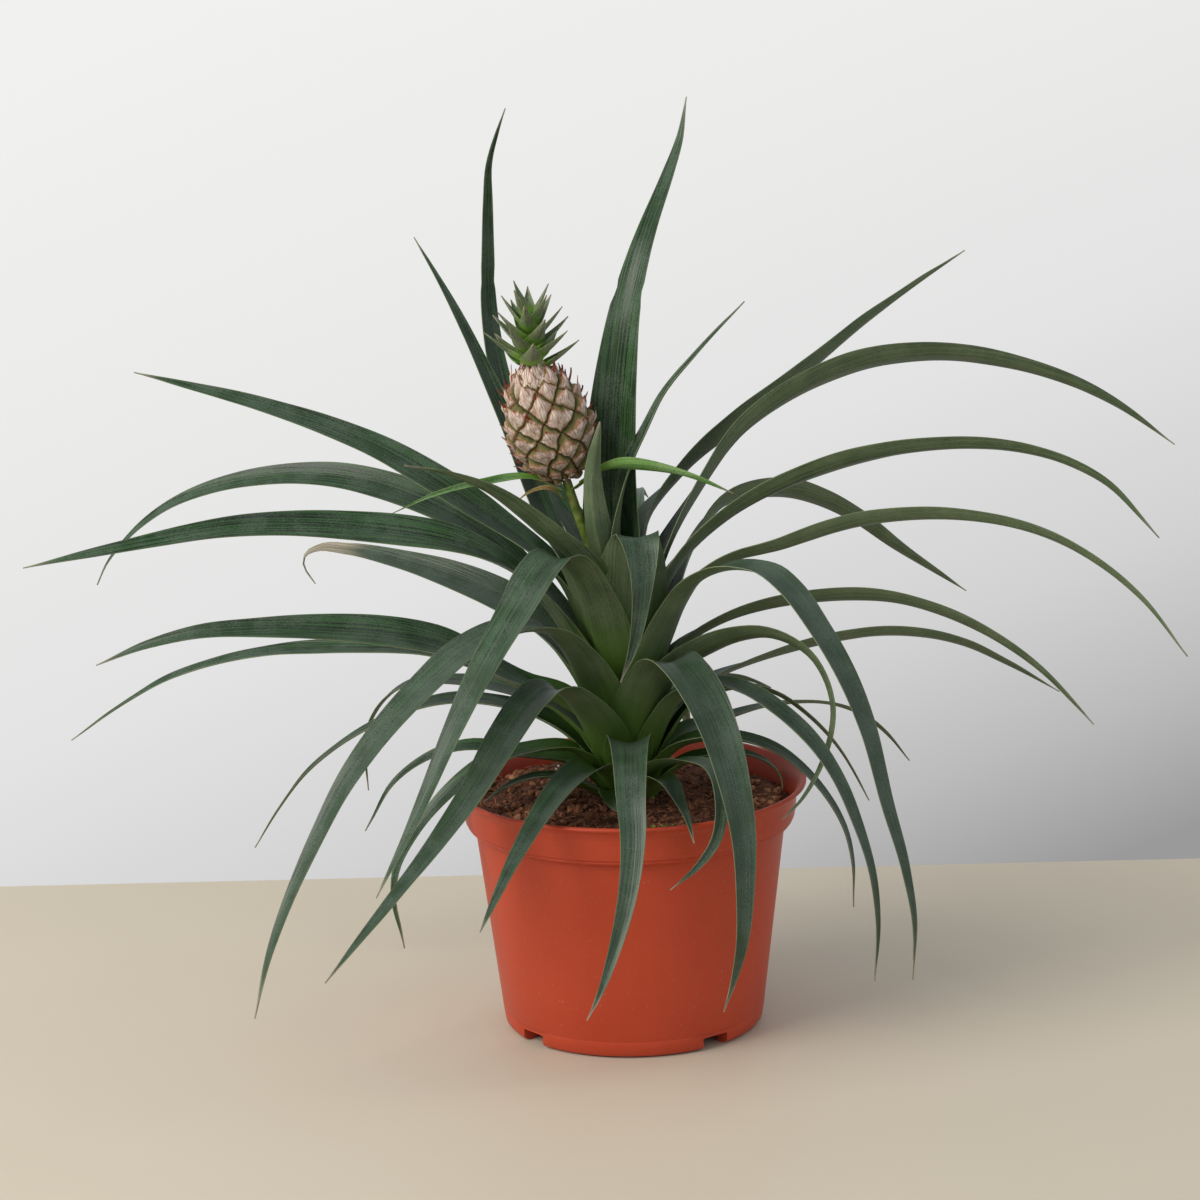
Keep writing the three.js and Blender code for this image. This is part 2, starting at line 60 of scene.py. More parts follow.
# The output that a kind of node is used for, where it isn't its first, and the sockets of a colour Mix
# node, whose names repeat for each kind of data.
GIVES = {"ShaderNodeTexCoord": "Object", "ShaderNodeAttribute": "Fac", "ShaderNodeMix": 2}
FACTOR, FIRST, SECOND = 0, 6, 7


def add(tree, kind, inputs, stops=(), gives=None, **settings):
    """The output of a new node with its settings, its inputs set or linked, and its colour stops."""
    node = tree.nodes.new(kind)
    for key, value in settings.items():
        setattr(node, key, value)
    for key, value in inputs.items():
        if isinstance(value, bpy.types.NodeSocket):
            tree.links.new(value, node.inputs[key])
        else:
            hexed = isinstance(value, str)
            node.inputs[key].default_value = linear(value) if hexed else value
    for i, (place, colour) in enumerate(stops):
        new = i >= len(node.color_ramp.elements)
        stop = node.color_ramp.elements.new(place) if new else node.color_ramp.elements[i]
        stop.position = place
        stop.color = linear(colour)
    wanted = gives or GIVES.get(kind, 0)
    return node.outputs[wanted] if node.outputs else None


def socket(shader, key):
    """The shader's socket of a name that is written as a Python word."""
    return shader.inputs[key.replace("_", " ").title().replace("Ior", "IOR")]


def feed(shader, **outputs):
    """Links each output to the shader's socket of that name."""
    for key, output in outputs.items():
        shader.id_data.links.new(output, socket(shader, key))


def material(name, **uniform):
    """A new material, its node tree and its shader, with the shader's uniform values set."""
    made_of = bpy.data.materials.new(name)
    made_of.use_nodes = True
    tree = made_of.node_tree
    shader = tree.nodes["Principled BSDF"]
    for key, value in uniform.items():
        socket(shader, key).default_value = value
    return made_of, tree, shader


def made(operator, name, **settings):
    """The piece that an add operator makes, the only one selected."""
    bpy.ops.object.select_all(action="DESELECT")
    operator(**settings)
    piece = bpy.context.object
    piece.name = name
    piece.data.name = name
    return piece


def shaped(piece, kind, **settings):
    """Applies a modifier to the piece."""
    bpy.context.view_layer.objects.active = piece
    modifier = piece.modifiers.new(kind, kind)
    for key, value in settings.items():
        setattr(modifier, key, value)
    bpy.ops.object.modifier_apply(modifier=modifier.name)
    return piece


def smoothed(piece, angle=40):
    """Shades the piece smooth except across edges sharper than the angle."""
    bpy.ops.object.select_all(action="DESELECT")
    piece.select_set(True)
    bpy.context.view_layer.objects.active = piece
    bpy.ops.object.shade_smooth_by_angle(angle=math.radians(angle))
    return piece


def copied(piece, name, matrix):
    """A copy with a mesh of its own, moved in its mesh."""
    twin = bpy.data.objects.new(name, piece.data.copy())
    twin.data.transform(matrix)
    bpy.context.scene.collection.objects.link(twin)
    return twin


def merged(pieces, name):
    """One piece out of several."""
    bpy.ops.object.select_all(action="DESELECT")
    for piece in pieces:
        piece.select_set(True)
    bpy.context.view_layer.objects.active = pieces[0]
    bpy.ops.object.join()
    whole = pieces[0]
    whole.name = name
    whole.data.name = name
    return whole


def keep_values(mesh, **values):
    """Stores each list as an attribute of the mesh, a number for every point."""
    for kind, numbers in values.items():
        mesh.attributes.new(kind, "FLOAT", "POINT").data.foreach_set("value", numbers)


def hand_over(piece, slot, *nodes):
    """The piece rides on the plant's one body and stands for CAD nodes."""
    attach(piece, "root")
    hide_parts(*nodes)
    return piece


def joined(name):
    """A merged copy of a CAD node's loose triangles."""
    form = bmesh.new()
    form.from_mesh(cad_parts[name].data)
    bmesh.ops.remove_doubles(form, verts=form.verts, dist=0.005 * MM)
    return form


def ease(value, start, end):
    """0 before the start, 1 after the end and a smooth rise between them."""
    share = min(max((value - start) / (end - start), 0), 1)
    return share * share * (3 - 2 * share)


def mix(first, second, share):
    return first + (second - first) * share


# ---- Camera ----
CAMERA_PLACE = Vector((-10.7, -1764.9, 602.1)) * MM
CAMERA_PITCH = math.radians(13.256)
CAMERA_ROLL = math.radians(-1.344)
CAMERA_VIEW = math.radians(16)

lens = bpy.data.cameras.new("camera")
lens.sensor_width = 36
lens.lens = lens.sensor_width / 2 / math.tan(CAMERA_VIEW / 2)
lens.clip_start = 0.05
camera = bpy.data.objects.new("camera", lens)
camera.matrix_world = (
    Matrix.Translation(CAMERA_PLACE)
    @ Matrix.Rotation(math.pi / 2 - CAMERA_PITCH, 4, "X")
    @ Matrix.Rotation(CAMERA_ROLL, 4, "Z")
)
bpy.context.scene.collection.objects.link(camera)
bpy.context.scene.camera = camera
bpy.context.scene.view_settings.view_transform = "Standard"


# ---- Stage: table top, pale wall light and studio lamps ----
TABLE_BACK = 216 * MM
TABLE_WIDTH = 4.4
TABLE_DEPTH = 3
TABLE_THICKNESS = 30 * MM
BOARD_MOTTLE = 1 / 6  # the size of a cloud in the board's mottle, in metres

table = made(bpy.ops.mesh.primitive_cube_add, "table", size=1)
table.data.transform(
    Matrix.Translation((0, TABLE_BACK - TABLE_DEPTH / 2, -TABLE_THICKNESS / 2))
    @ Matrix.Diagonal((TABLE_WIDTH, TABLE_DEPTH, TABLE_THICKNESS, 1))
)
# Matt lacquered board, which gives the eye an even beige with a faint mottle.
board, tree, shader = material("matt_lacquered_board", roughness=0.6)
place = add(tree, "ShaderNodeTexCoord", {})
mottle = add(tree, "ShaderNodeTexNoise", {"Vector": place, "Scale": 1 / BOARD_MOTTLE, "Detail": 3})
tint = add(tree, "ShaderNodeMix", {FACTOR: mottle, FIRST: "#C3B9A5", SECOND: "#CBC1AE"}, data_type="RGBA")
feed(shader, base_color=tint)
table.data.materials.append(board)

# The plain wall behind is painted darker downwards and to the right, a painted shade on the wall. It is
# seen as it is, and lights the plant as an even, faintly cool room would.
WALL_SHADE_FALL = (1.1, 0, -2.9)
WALL_SHADE_STOPS = [(0.16, "#F1F1F0"), (0.43, "#EAEAE9"), (0.61, "#E3E3E3"), (0.77, "#D2D2D2"),
              (0.87, "#BCBBBC"), (0.965, "#9B9A9B")]
ROOM_LIGHT = 0.67

world = bpy.data.worlds.new("studio")
bpy.context.scene.world = world
world.use_nodes = True
tree = world.node_tree
tree.nodes.clear()
direction = add(tree, "ShaderNodeTexCoord", {}, gives="Generated")
fall = add(tree, "ShaderNodeVectorMath", {0: direction, 1: WALL_SHADE_FALL}, gives="Value",
           operation="DOT_PRODUCT")
# Painted shade: the wall seen behind the plant darkens towards the lower right.
wall = add(tree, "ShaderNodeValToRGB", {"Fac": fall}, stops=WALL_SHADE_STOPS)
seen = add(tree, "ShaderNodeBackground", {"Color": wall, "Strength": 1})
cast = add(tree, "ShaderNodeBackground", {"Color": "#EFF2F6", "Strength": ROOM_LIGHT})
rays = add(tree, "ShaderNodeLightPath", {}, gives="Is Camera Ray")
both = add(tree, "ShaderNodeMixShader", {0: rays, 1: cast, 2: seen})
add(tree, "ShaderNodeOutputWorld", {"Surface": both})


def lamp(name, place, aim, size, power, colour):
    """A soft square lamp that faces the aim, its size in metres and its power in watts."""
    light = bpy.data.lights.new(name, "AREA")
    light.size = size
    light.energy = power
    light.color = linear(colour)[:3]
    holder = bpy.data.objects.new(name, light)
    facing = (Vector(aim) - Vector(place)).to_track_quat("-Z", "Y")
    holder.matrix_world = Matrix.Translation(place) @ facing.to_matrix().to_4x4()
    bpy.context.scene.collection.objects.link(holder)


lamp("key", (-1.6, -1.0, 1.5), (0, 0, 0.15), 1.45, 48.5, "#FFF9F2")
lamp("fill", (1.6, -1.6, 0.9), (0, 0, 0.2), 1.6, 3, "#F2F6FF")


# ---- Blades: leaves, bracts and the crown's leaves ----
BLADE_COLUMNS = 10
BLADE_STEP = 3.5 * MM
BLADE_THICKNESS = 1.0 * MM
NARROWEST = 0.15 * MM
SHEATH = 75 * MM  # the length over which a wrapped foot opens
# Where along a blade its roll, breadth, fold and waves set in or end, and how long its drying end and its
# neck are, as shares of its length.
ROLL_START, ROLL_END = 0.02, 0.3
BROAD_END, CAD_WIDTH_START = 0.35, 0.75
FOLD_FULL = 0.15
WAVE_START, WAVE_FULL, WAVE_FADE = 0.05, 0.3, 0.9
DRYING = 0.1
NECK_LENGTH = 0.012
NECK_DEPTH = 0.14  # a share of the width
TIP_THICKNESS, MARGIN_THINNING = 0.5, 0.6  # shares of the thickness
WAVE_LENGTH = 26 * MM


def flow(marks, values, mark):
    """The place at the mark on a smooth curve through the values."""
    last = len(marks) - 1
    i = min(max(bisect_right(marks, mark) - 1, 0), last - 1)

    def slope(k):
        if k in (0, last):
            near = min(k, last - 1)
            return (values[near + 1] - values[near]) / (marks[near + 1] - marks[near])
        before = (values[k] - values[k - 1]) / (marks[k] - marks[k - 1])
        after = (values[k + 1] - values[k]) / (marks[k + 1] - marks[k])
        weight = (marks[k] - marks[k - 1]) / (marks[k + 1] - marks[k - 1])
        return before * (1 - weight) + after * weight

    span = marks[i + 1] - marks[i]
    t = (mark - marks[i]) / span
    return (
        values[i] * (2 * t**3 - 3 * t**2 + 1)
        + slope(i) * (t**3 - 2 * t**2 + t) * span
        + values[i + 1] * (3 * t**2 - 2 * t**3)
        + slope(i + 1) * (t**3 - t**2) * span
    )


def faced(stations):
    """The stations, each half width turned so that the rise is on the blade's upper side."""
    last = len(stations) - 1
    for i, (_, across, rise) in enumerate(stations):
        before, after = stations[max(i - 1, 0)][0], stations[min(i + 1, last)][0]
        if (after - before).cross(across).dot(rise) < 0:
            stations[i][1] = -across
    return stations


def sections(name):
    """A CAD blade's sections from foot to tip: midrib, half width across and rise of the margins."""
    form = joined(name)
    tip = max(form.verts, key=lambda point: len(point.link_edges))
    level = {tip: 0}
    rings = [[tip]]
    while rings[-1]:
        ring = []
        for point in rings[-1]:
            for edge in point.link_edges:
                other = edge.other_vert(point)
                if other not in level:
                    level[other] = len(rings)
                    ring.append(other)
        rings.append(ring)
    found = []
    for depth, ring in enumerate(rings[1:-1], 1):
        beside = {point: [] for point in ring}
        for point in ring:
            for edge in point.link_edges:
                other = edge.other_vert(point)
                ahead = any(level[c] < depth for face in edge.link_faces for c in face.verts)
                if level[other] == depth and ahead:
                    beside[point].append(other)
        order = [ring[0]]
        while len(order) < len(ring):
            order.append(next(o for o in beside[order[-1]] if o not in order))
        half = len(order) // 2
        k = max(range(half), key=lambda k: (order[k].co - order[k + half].co).length)
        centre = (order[k].co + order[k + half].co) / 2
        middles = [order[(k + half // 2) % len(order)].co, order[k - half // 2].co]
        midrib = min(middles, key=lambda middle: (middle - centre).length)
        found.append([midrib.copy(), (order[k + half].co - order[k].co) / 2, centre - midrib])
    found.reverse()
    found.append([tip.co.copy(), found[-1][1] * 0.01, found[-1][2] * 0.01])
    form.free()
    return faced(found)


def blade(name, stations, skins, dry=0.955, tone=0.5, wrap=1.0, neck=None, roll=0, broad=1, blunt=0,
          crease=0.3, fold=1, step=BLADE_STEP, thickness=BLADE_THICKNESS, wave=0.5 * MM,
          columns=BLADE_COLUMNS):
    """A channelled blade through the stations, with its distances and shares as attributes.

    dry is where it begins to dry, tone how far it has aged and neck where a check has pinched it. wrap
    closes its foot, roll turns it about its length in degrees, broad widens its lower half, blunt fills
    out its tip, crease turns its round channel into a V and fold deepens it.
    """
    marks = [0.0]
    for (here, _, _), (there, _, _) in zip(stations, stations[1:]):
        marks.append(marks[-1] + (there - here).length)
    length = marks[-1]
    rows = max(6, round(length / step))
    piece = made(bpy.ops.mesh.primitive_grid_add, name, x_subdivisions=columns, y_subdivisions=rows, size=2)
    mesh = piece.data
    seed = random.Random(name).uniform(0, 100)
    lines = []
    for row in range(rows + 1):
        mark = length * row / rows
        midrib, across, rise = (flow(marks, [s[k] for s in stations], mark) for k in range(3))
        along = row / rows
        turned = math.radians(roll) * ease(along, ROLL_START, ROLL_END)
        spin = Matrix.Rotation(turned, 3, across.cross(rise))
        across, rise = spin @ across, spin @ rise
        pinch = 1 - NECK_DEPTH * math.exp(-(((along - neck) / NECK_LENGTH) ** 2)) if neck else 1
        pinch *= mix(broad, 1, ease(along, BROAD_END, CAD_WIDTH_START)) * max(1 - along, 0.01) ** -blunt
        half = max(across.length * pinch, NARROWEST)
        spread = 2 * math.atan2(rise.length, across.length)
        turn = spread * mix(wrap, 1, ease(mark, 0, SHEATH))
        radius = half / math.sin(spread)
        lines.append((mark, midrib, across.normalized(), rise.normalized(), turn, radius))
    count = len(mesh.vertices)
    flat, edges, dryness, weights = [None] * count, [0] * count, [0] * count, [0] * count
    for point in mesh.vertices:
        share = -point.co.x
        row = round((point.co.y + 1) / 2 * rows)
        mark, midrib, across, rise, turn, radius = lines[row]
        angle = share * turn
        along = row / rows
        ripple = noise.noise(Vector((mark / WAVE_LENGTH, seed, 2 * share))) * wave
        ripple *= share * share * ease(along, WAVE_START, WAVE_FULL) * (1 - ease(along, WAVE_FADE, 1))
        depth = mix(radius * (1 - math.cos(angle)), abs(share) * radius * (1 - math.cos(turn)), crease)
        depth *= mix(1, fold, ease(along, 0, FOLD_FULL))
        point.co = midrib + across * radius * math.sin(angle) + rise * (depth + ripple)
        half = turn * radius
        flat[point.index] = (share * half, mark)
        edges[point.index] = (1 - abs(share)) * half
        dryness[point.index] = ease(along + 0.03 * abs(share), dry, min(dry + DRYING, 1.03))
        weights[point.index] = mix(1, TIP_THICKNESS, along) * (1 - MARGIN_THINNING * abs(share) ** 1.5)
    for corner in mesh.loops:
        mesh.uv_layers.active.data[corner.index].uv = flat[corner.vertex_index]
    keep_values(mesh, edge=edges, dry=dryness, tone=[tone] * count)
    group = piece.vertex_groups.new(name="thickness")
    for index, weight in enumerate(weights):
        group.add([index], weight, "REPLACE")
    for skin in skins:
        mesh.materials.append(skin)
    shaped(piece, "SOLIDIFY", thickness=thickness, offset=-1, vertex_group="thickness",
           thickness_vertex_group=0.05, material_offset=len(skins) - 1, material_offset_rim=len(skins) - 1)
    return smoothed(piece, 60)


FINE_VEIN = 0.75 * MM  # twice the real spacing, which would be too fine to show
FINE_VEIN_LENGTH = 70 * MM
BROAD_VEIN = 4.5 * MM
BROAD_VEIN_LENGTH = 160 * MM
VEIN_DARK, VEIN_LIGHT = 0.67, 0.84
BLOOM_GRAIN = 0.6 * MM
BLOOM_PATCH = 12 * MM
BLOOM_THIN, BLOOM_THICK = 0.2, 0.32
FOOT_GREEN_END = 46 * MM
MARGIN_START, MARGIN_END = 0.2 * MM, 0.5 * MM
MARGIN_TINT = 0.15
VEIN_RELIEF = 0.6 * MM


def leaf_skin(name, dark, light, olive, bloom, foot, bloom_share, gloss, young_end=FOOT_GREEN_END):
    """Living leaf with a waxy bloom: streaks along the veins, pale margin, dry tip."""
    skin, tree, shader = material(name, roughness=gloss, ior=1.45, specular_ior_level=0.38)
    flat = add(tree, "ShaderNodeUVMap", {}, uv_map="UVMap")
    place = add(tree, "ShaderNodeTexCoord", {})

    def streak(width, length):
        scaled = add(tree, "ShaderNodeMapping", {"Vector": flat, "Scale": (1 / width, 1 / length, 1)})
        return add(tree, "ShaderNodeTexNoise", {"Vector": scaled, "Scale": 1, "Detail": 3, "Roughness": 0.6})

    fine = streak(FINE_VEIN, FINE_VEIN_LENGTH)
    broad = streak(BROAD_VEIN, BROAD_VEIN_LENGTH)
    grain = add(tree, "ShaderNodeTexNoise", {"Vector": place, "Scale": 1 / BLOOM_GRAIN, "Detail": 2})
    patch = add(tree, "ShaderNodeTexNoise", {"Vector": place, "Scale": 1 / BLOOM_PATCH, "Detail": 4})
    tone = add(tree, "ShaderNodeAttribute", {}, attribute_name="tone")

    both = add(tree, "ShaderNodeMath", {0: broad, 1: 0.5, 2: fine}, operation="MULTIPLY_ADD")
    green = add(tree, "ShaderNodeValToRGB", {"Fac": both}, stops=[(VEIN_DARK, dark), (VEIN_LIGHT, light)])
    aged = add(tree, "ShaderNodeMix", {FACTOR: tone, FIRST: green, SECOND: olive}, data_type="RGBA")
    powder = add(tree, "ShaderNodeMath", {0: patch, 1: grain}, operation="MULTIPLY")
    dusted = add(tree, "ShaderNodeMapRange",
                 {"Value": powder, "From Min": BLOOM_THIN, "From Max": BLOOM_THICK, "To Max": bloom_share})
    waxy = add(tree, "ShaderNodeMix", {FACTOR: dusted, FIRST: aged, SECOND: bloom}, data_type="RGBA")
    along = add(tree, "ShaderNodeSeparateXYZ", {"Vector": flat}, gives="Y")
    young = add(tree, "ShaderNodeMapRange",
                {"Value": along, "From Min": young_end / 6, "From Max": young_end, "To Min": 1, "To Max": 0},
                interpolation_type="SMOOTHSTEP")
    based = add(tree, "ShaderNodeMix", {FACTOR: young, FIRST: waxy, SECOND: foot}, data_type="RGBA")
    edge = add(tree, "ShaderNodeAttribute", {}, attribute_name="edge")
    rim = add(tree, "ShaderNodeMapRange",
              {"Value": edge, "From Min": MARGIN_START, "From Max": MARGIN_END,
               "To Min": MARGIN_TINT, "To Max": 0})
    edged = add(tree, "ShaderNodeMix", {FACTOR: rim, FIRST: based, SECOND: "#9AA078"}, data_type="RGBA")
    dry = add(tree, "ShaderNodeAttribute", {}, attribute_name="dry")
    straw = add(tree, "ShaderNodeValToRGB", {"Fac": fine}, stops=[(0.4, "#756C58"), (0.62, "#A9A592")])
    whole = add(tree, "ShaderNodeMix", {FACTOR: dry, FIRST: edged, SECOND: straw}, data_type="RGBA")
    sheen = add(tree, "ShaderNodeMapRange",
                {"Value": powder, "From Min": 0.12, "From Max": 0.42,
                 "To Min": gloss - 0.06, "To Max": gloss + 0.16})
    relief = add(tree, "ShaderNodeMath", {0: fine, 1: 0.35, 2: broad}, operation="MULTIPLY_ADD")
    bump = add(tree, "ShaderNodeBump", {"Height": relief, "Strength": 0.9, "Distance": VEIN_RELIEF})
    feed(shader, base_color=whole, roughness=sheen, normal=bump)
    return skin


# Living leaf, which gives the eye a glossy dark green with fine veins above, and a paler, duller grey
# green under a thicker bloom beneath. Its colours are the dark and light of its veins, its aged olive,
# its bloom and the green of its foot.
UPPER = leaf_skin("leaf_upper_face", "#0D1B0E", "#30522A", "#3A493B", "#69776C", "#42661D", 0.26, 0.34)
UNDER = leaf_skin("leaf_under_face", "#2C3E2D", "#627A57", "#5F6F5B", "#A0AA9C", "#527826", 0.6, 0.44)
MARGIN = leaf_skin("leaf_margin", "#35472F", "#5A6C48", "#546448", "#7C8868", "#56782C", 0.3, 0.5)
LEAF_SKINS = (UPPER, UNDER, MARGIN)

# Leaves that differ from the rest, in the terms that blade() explains.
LEAF_LOOKS = {
    "left_5": {"dry": 0.74, "tone": 0.7, "broad": 1.15},
    "front_1": {"broad": 0.9, "blunt": 0.3, "crease": 1, "fold": 2.6},
    "front_3": {"broad": 1.2},
    "front_6": {"broad": 1.2},
    "right_1": {"roll": -26, "broad": 1.1, "fold": 1.2, "crease": 0.5},
    "right_2": {"roll": -24, "broad": 1.1, "fold": 1.2, "crease": 0.5},
    "right_3": {"roll": -12, "fold": 1.3, "crease": 0.6},
    "right_4": {"roll": -22, "broad": 1.1, "fold": 1.2},
    "right_5": {"roll": -10, "fold": 1.3, "crease": 0.6},
    "right_7": {"roll": -20, "broad": 1.15},
    "right_8": {"roll": -20, "broad": 1.15},
    "right_9": {"roll": -30, "broad": 1.3},
    "top_4": {"broad": 1.5, "fold": 1.3, "tone": 0.1},
    "left_2": {"dry": 0.93},
    "front_2": {"dry": 0.93, "broad": 1.75},
    "front_4": {"dry": 0.93, "broad": 1.15},
    "front_5": {"dry": 0.93, "broad": 1.1},
    "right_6": {"dry": 0.93},
    "top_1": {"neck": 0.6, "tone": 0.05, "broad": 1.3},
    "top_2": {"neck": 0.68, "tone": 0.05},
}
# How far the leaves of each side have aged, and how much closer a foot clasps the stem than in the CAD.
AGED = {"right": 0.5, "front": 0.5, "left": 0.1, "top": 0.1, "back": 0.3}
CLASP = 1.45
for name in sorted(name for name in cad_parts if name.startswith("leaf_")):
    aged = AGED[name.split("_")[1]] + random.Random(name).uniform(-0.2, 0.2)
    look = {"tone": min(max(aged, 0), 1), "wrap": CLASP}
    look.update(LEAF_LOOKS.get(name.removeprefix("leaf_"), {}))
    hand_over(blade("blade_" + name, sections(name), LEAF_SKINS, **look), "leaf", name)

# Young bract, which gives the eye a fresh yellow green, and one that is turning brown.
YOUNG_UPPER = leaf_skin("bract_upper_face", "#264A1C", "#4F8232", "#44703A", "#8FA87C", "#62912C", 0.3, 0.4,
                        30 * MM)
YOUNG_UNDER = leaf_skin("bract_under_face", "#40682A", "#699444", "#5F8248", "#A0B48A", "#74993A", 0.3, 0.45,
                        30 * MM)
TURNING = leaf_skin("bract_turning_face", "#6A5424", "#A08240", "#8A7040", "#AC9870", "#7E8E34", 0.3, 0.5,
                    12 * MM)
for name in sorted(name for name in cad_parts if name.startswith("bract_")):
    skins = (TURNING,) * 3 if name == "bract_small" else (YOUNG_UPPER, YOUNG_UNDER, YOUNG_UNDER)
    broad = 1.3 if name == "bract_right" else 1.0
    piece = blade("blade_" + name, sections(name), skins, dry=0.9, tone=0.2, roll=-25, broad=broad,
                  step=1.8 * MM, thickness=0.7 * MM, wave=0.2 * MM)
    hand_over(piece, "bract", name)


# ---- Pot ----
pot_low, pot_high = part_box("pot")
RIM_RADIUS = (pot_high.x - pot_low.x) / 2
POT_HEIGHT = pot_high.z
BAND_RADIUS = 71.2 * MM
BAND_BOTTOM = 88 * MM
CONE_TOP_RADIUS = 66.5 * MM
FOOT_RADIUS = 56.2 * MM
FOOT_RING_INSIDE = 48.9 * MM
FOOT_RING_OUTSIDE = 51.5 * MM
FLOOR_RADIUS = 54 * MM
FLOOR_UNDERSIDE = 6.6 * MM
FLOOR_TOP = 8.2 * MM
WALL = 1.5 * MM
MOULD_LINE = 0.18 * MM  # how deep a fine line lies round the wall, just above the foot
NOTCH_COUNT = 4
FIRST_NOTCH = math.radians(38)
# Each notch is a shallow recess in the wall above a gap through the foot ring.
RECESS_SIZE = (8 * MM, 25 * MM, 16 * MM)
RECESS_OUT = 2.9 * MM
NOTCH_SIZE = (24 * MM, 13 * MM, 11 * MM)
DRAIN_COUNT = 8
DRAIN_CIRCLE = 38 * MM
DRAIN_RADIUS = 4 * MM
DRAIN_DEPTH = 6 * MM
POT_STEPS = 144


def cone_radius(height):
    """The outside of the tapered wall below the rim band."""
    share = (height - 5 * MM) / (BAND_BOTTOM - 5 * MM)
    return mix(FOOT_RADIUS, CONE_TOP_RADIUS, share)


def beside(radius, height, *offsets):
    """Points of the pot's profile at offsets, in millimetres, from a radius and a height."""
    return [(radius + r * MM, height + z * MM) for r, z in offsets]


def pot():
    """A profile drawn up the outside and down the inside, spun once round."""
    outside = [
        (FOOT_RING_OUTSIDE, 0), *beside(FOOT_RADIUS, 0, (-1.6, 0.9), (-0.5, 2.4)),
        (cone_radius(7 * MM), 7 * MM), (cone_radius(7.6 * MM) - MOULD_LINE, 7.6 * MM),
        *[(cone_radius(height), height) for height in (8.2 * MM, 30 * MM, 60 * MM)],
        *beside(CONE_TOP_RADIUS, BAND_BOTTOM, (-0.1, -0.8), (0, 0), (1.2, 0.7)),
        *beside(BAND_RADIUS, BAND_BOTTOM, (-1.7, 1.5), (-1.2, 2.2), (-1.35, 2.8), (-0.5, 3.6), (0, 6)),
    ]
    lip = [
        *beside(BAND_RADIUS, POT_HEIGHT, (0.5, -7), (1, -4.6), (2, -3), (3.6, -2)),
        *beside(RIM_RADIUS, POT_HEIGHT, (-0.3, -1.5), (0, -0.9), (-0.25, -0.3), (-0.9, 0), (-2, -0.2)),
        *beside(BAND_RADIUS, POT_HEIGHT, (1.6, -1.3), (0.5, -3), (-0.8, -6)),
    ]
    inside = [
        *beside(BAND_RADIUS - WALL, BAND_BOTTOM, (0, 6), (-1, 4)), (CONE_TOP_RADIUS - WALL, BAND_BOTTOM),
        *beside(FLOOR_RADIUS, FLOOR_TOP, (1.2, 1.8), (0, 0)), (0, FLOOR_TOP),
    ]
    under = [(0, FLOOR_UNDERSIDE), (FOOT_RING_INSIDE - 0.6 * MM, FLOOR_UNDERSIDE), (FOOT_RING_INSIDE, 0)]
    profile = under + outside + lip + inside
    piece = made(bpy.ops.mesh.primitive_plane_add, "moulded_pot", size=MM)
    bpy.ops.object.mode_set(mode="EDIT")
    bpy.ops.mesh.merge(type="CENTER")
    bpy.ops.transform.translate(value=(profile[0][0], 0, profile[0][1]))
    for (r0, z0), (r1, z1) in zip(profile, profile[1:]):
        bpy.ops.mesh.extrude_region_move(TRANSFORM_OT_translate={"value": (r1 - r0, 0, z1 - z0)})
    bpy.ops.mesh.select_all(action="SELECT")
    bpy.ops.mesh.spin(steps=POT_STEPS, angle=2 * math.pi, center=(0, 0, 0), axis=(0, 0, 1))
    bpy.ops.mesh.select_all(action="SELECT")
    bpy.ops.mesh.remove_doubles(threshold=0.01 * MM)
    bpy.ops.mesh.normals_make_consistent(inside=False)
    bpy.ops.object.mode_set(mode="OBJECT")
    return piece


def cut(piece, cutters):
    """Cuts the cutters out of the piece."""
    tool = merged(cutters, "cutter")
    shaped(piece, "BOOLEAN", object=tool, operation="DIFFERENCE", solver="EXACT")
    bpy.data.objects.remove(tool)


def slab(name, size, centre, turn):
    """A box for cutting, turned about the pot's axis."""
    box = made(bpy.ops.mesh.primitive_cube_add, name, size=1)
    box.data.transform(Matrix.Rotation(turn, 4, "Z") @ Matrix.Translation(centre)
                       @ Matrix.Diagonal((*size, 1)))
    return box


pot_piece = pot()
recesses, gaps, drains = [], [], []
for k in range(NOTCH_COUNT):
    turn = FIRST_NOTCH + 2 * math.pi * k / NOTCH_COUNT
    recesses.append(slab("recess", RECESS_SIZE, (FOOT_RADIUS + RECESS_OUT, 0, 0), turn))
    gaps.append(slab("gap", NOTCH_SIZE, (FOOT_RADIUS, 0, 0), turn))
for k in range(DRAIN_COUNT):
    turn = FIRST_NOTCH + 2 * math.pi * k / DRAIN_COUNT
    drain = made(bpy.ops.mesh.primitive_cylinder_add, "drain", vertices=24, radius=DRAIN_RADIUS,
                 depth=DRAIN_DEPTH)
    drain.data.transform(Matrix.Rotation(turn, 4, "Z")
                         @ Matrix.Translation((DRAIN_CIRCLE, 0, FLOOR_UNDERSIDE)))
    drains.append(drain)
cut(pot_piece, recesses)
cut(pot_piece, gaps)
cut(pot_piece, drains)
smoothed(pot_piece, 32)

# Injection-moulded polypropylene, which gives the eye a satin, slightly waxy orange red with a few
# scuffs and soil marks, and a fine moulded grain, drawn coarser than it is so that it shows.
plastic, tree, shader = material("moulded_polypropylene", roughness=0.45, ior=1.49, specular_ior_level=0.35)
place = add(tree, "ShaderNodeTexCoord", {})
cloud = add(tree, "ShaderNodeTexNoise", {"Vector": place, "Scale": 1 / (60 * MM), "Detail": 3})
body = add(tree, "ShaderNodeValToRGB", {"Fac": cloud}, stops=[(0.3, "#B03D20"), (0.7, "#BA4427")])
speck = add(tree, "ShaderNodeTexNoise", {"Vector": place, "Scale": 1 / (1.4 * MM), "Detail": 2})
dust = add(tree, "ShaderNodeMapRange", {"Value": speck, "From Min": 0.66, "From Max": 0.8, "To Max": 0.25})
dusty = add(tree, "ShaderNodeMix", {FACTOR: dust, FIRST: body, SECOND: "#B89A86"}, data_type="RGBA")
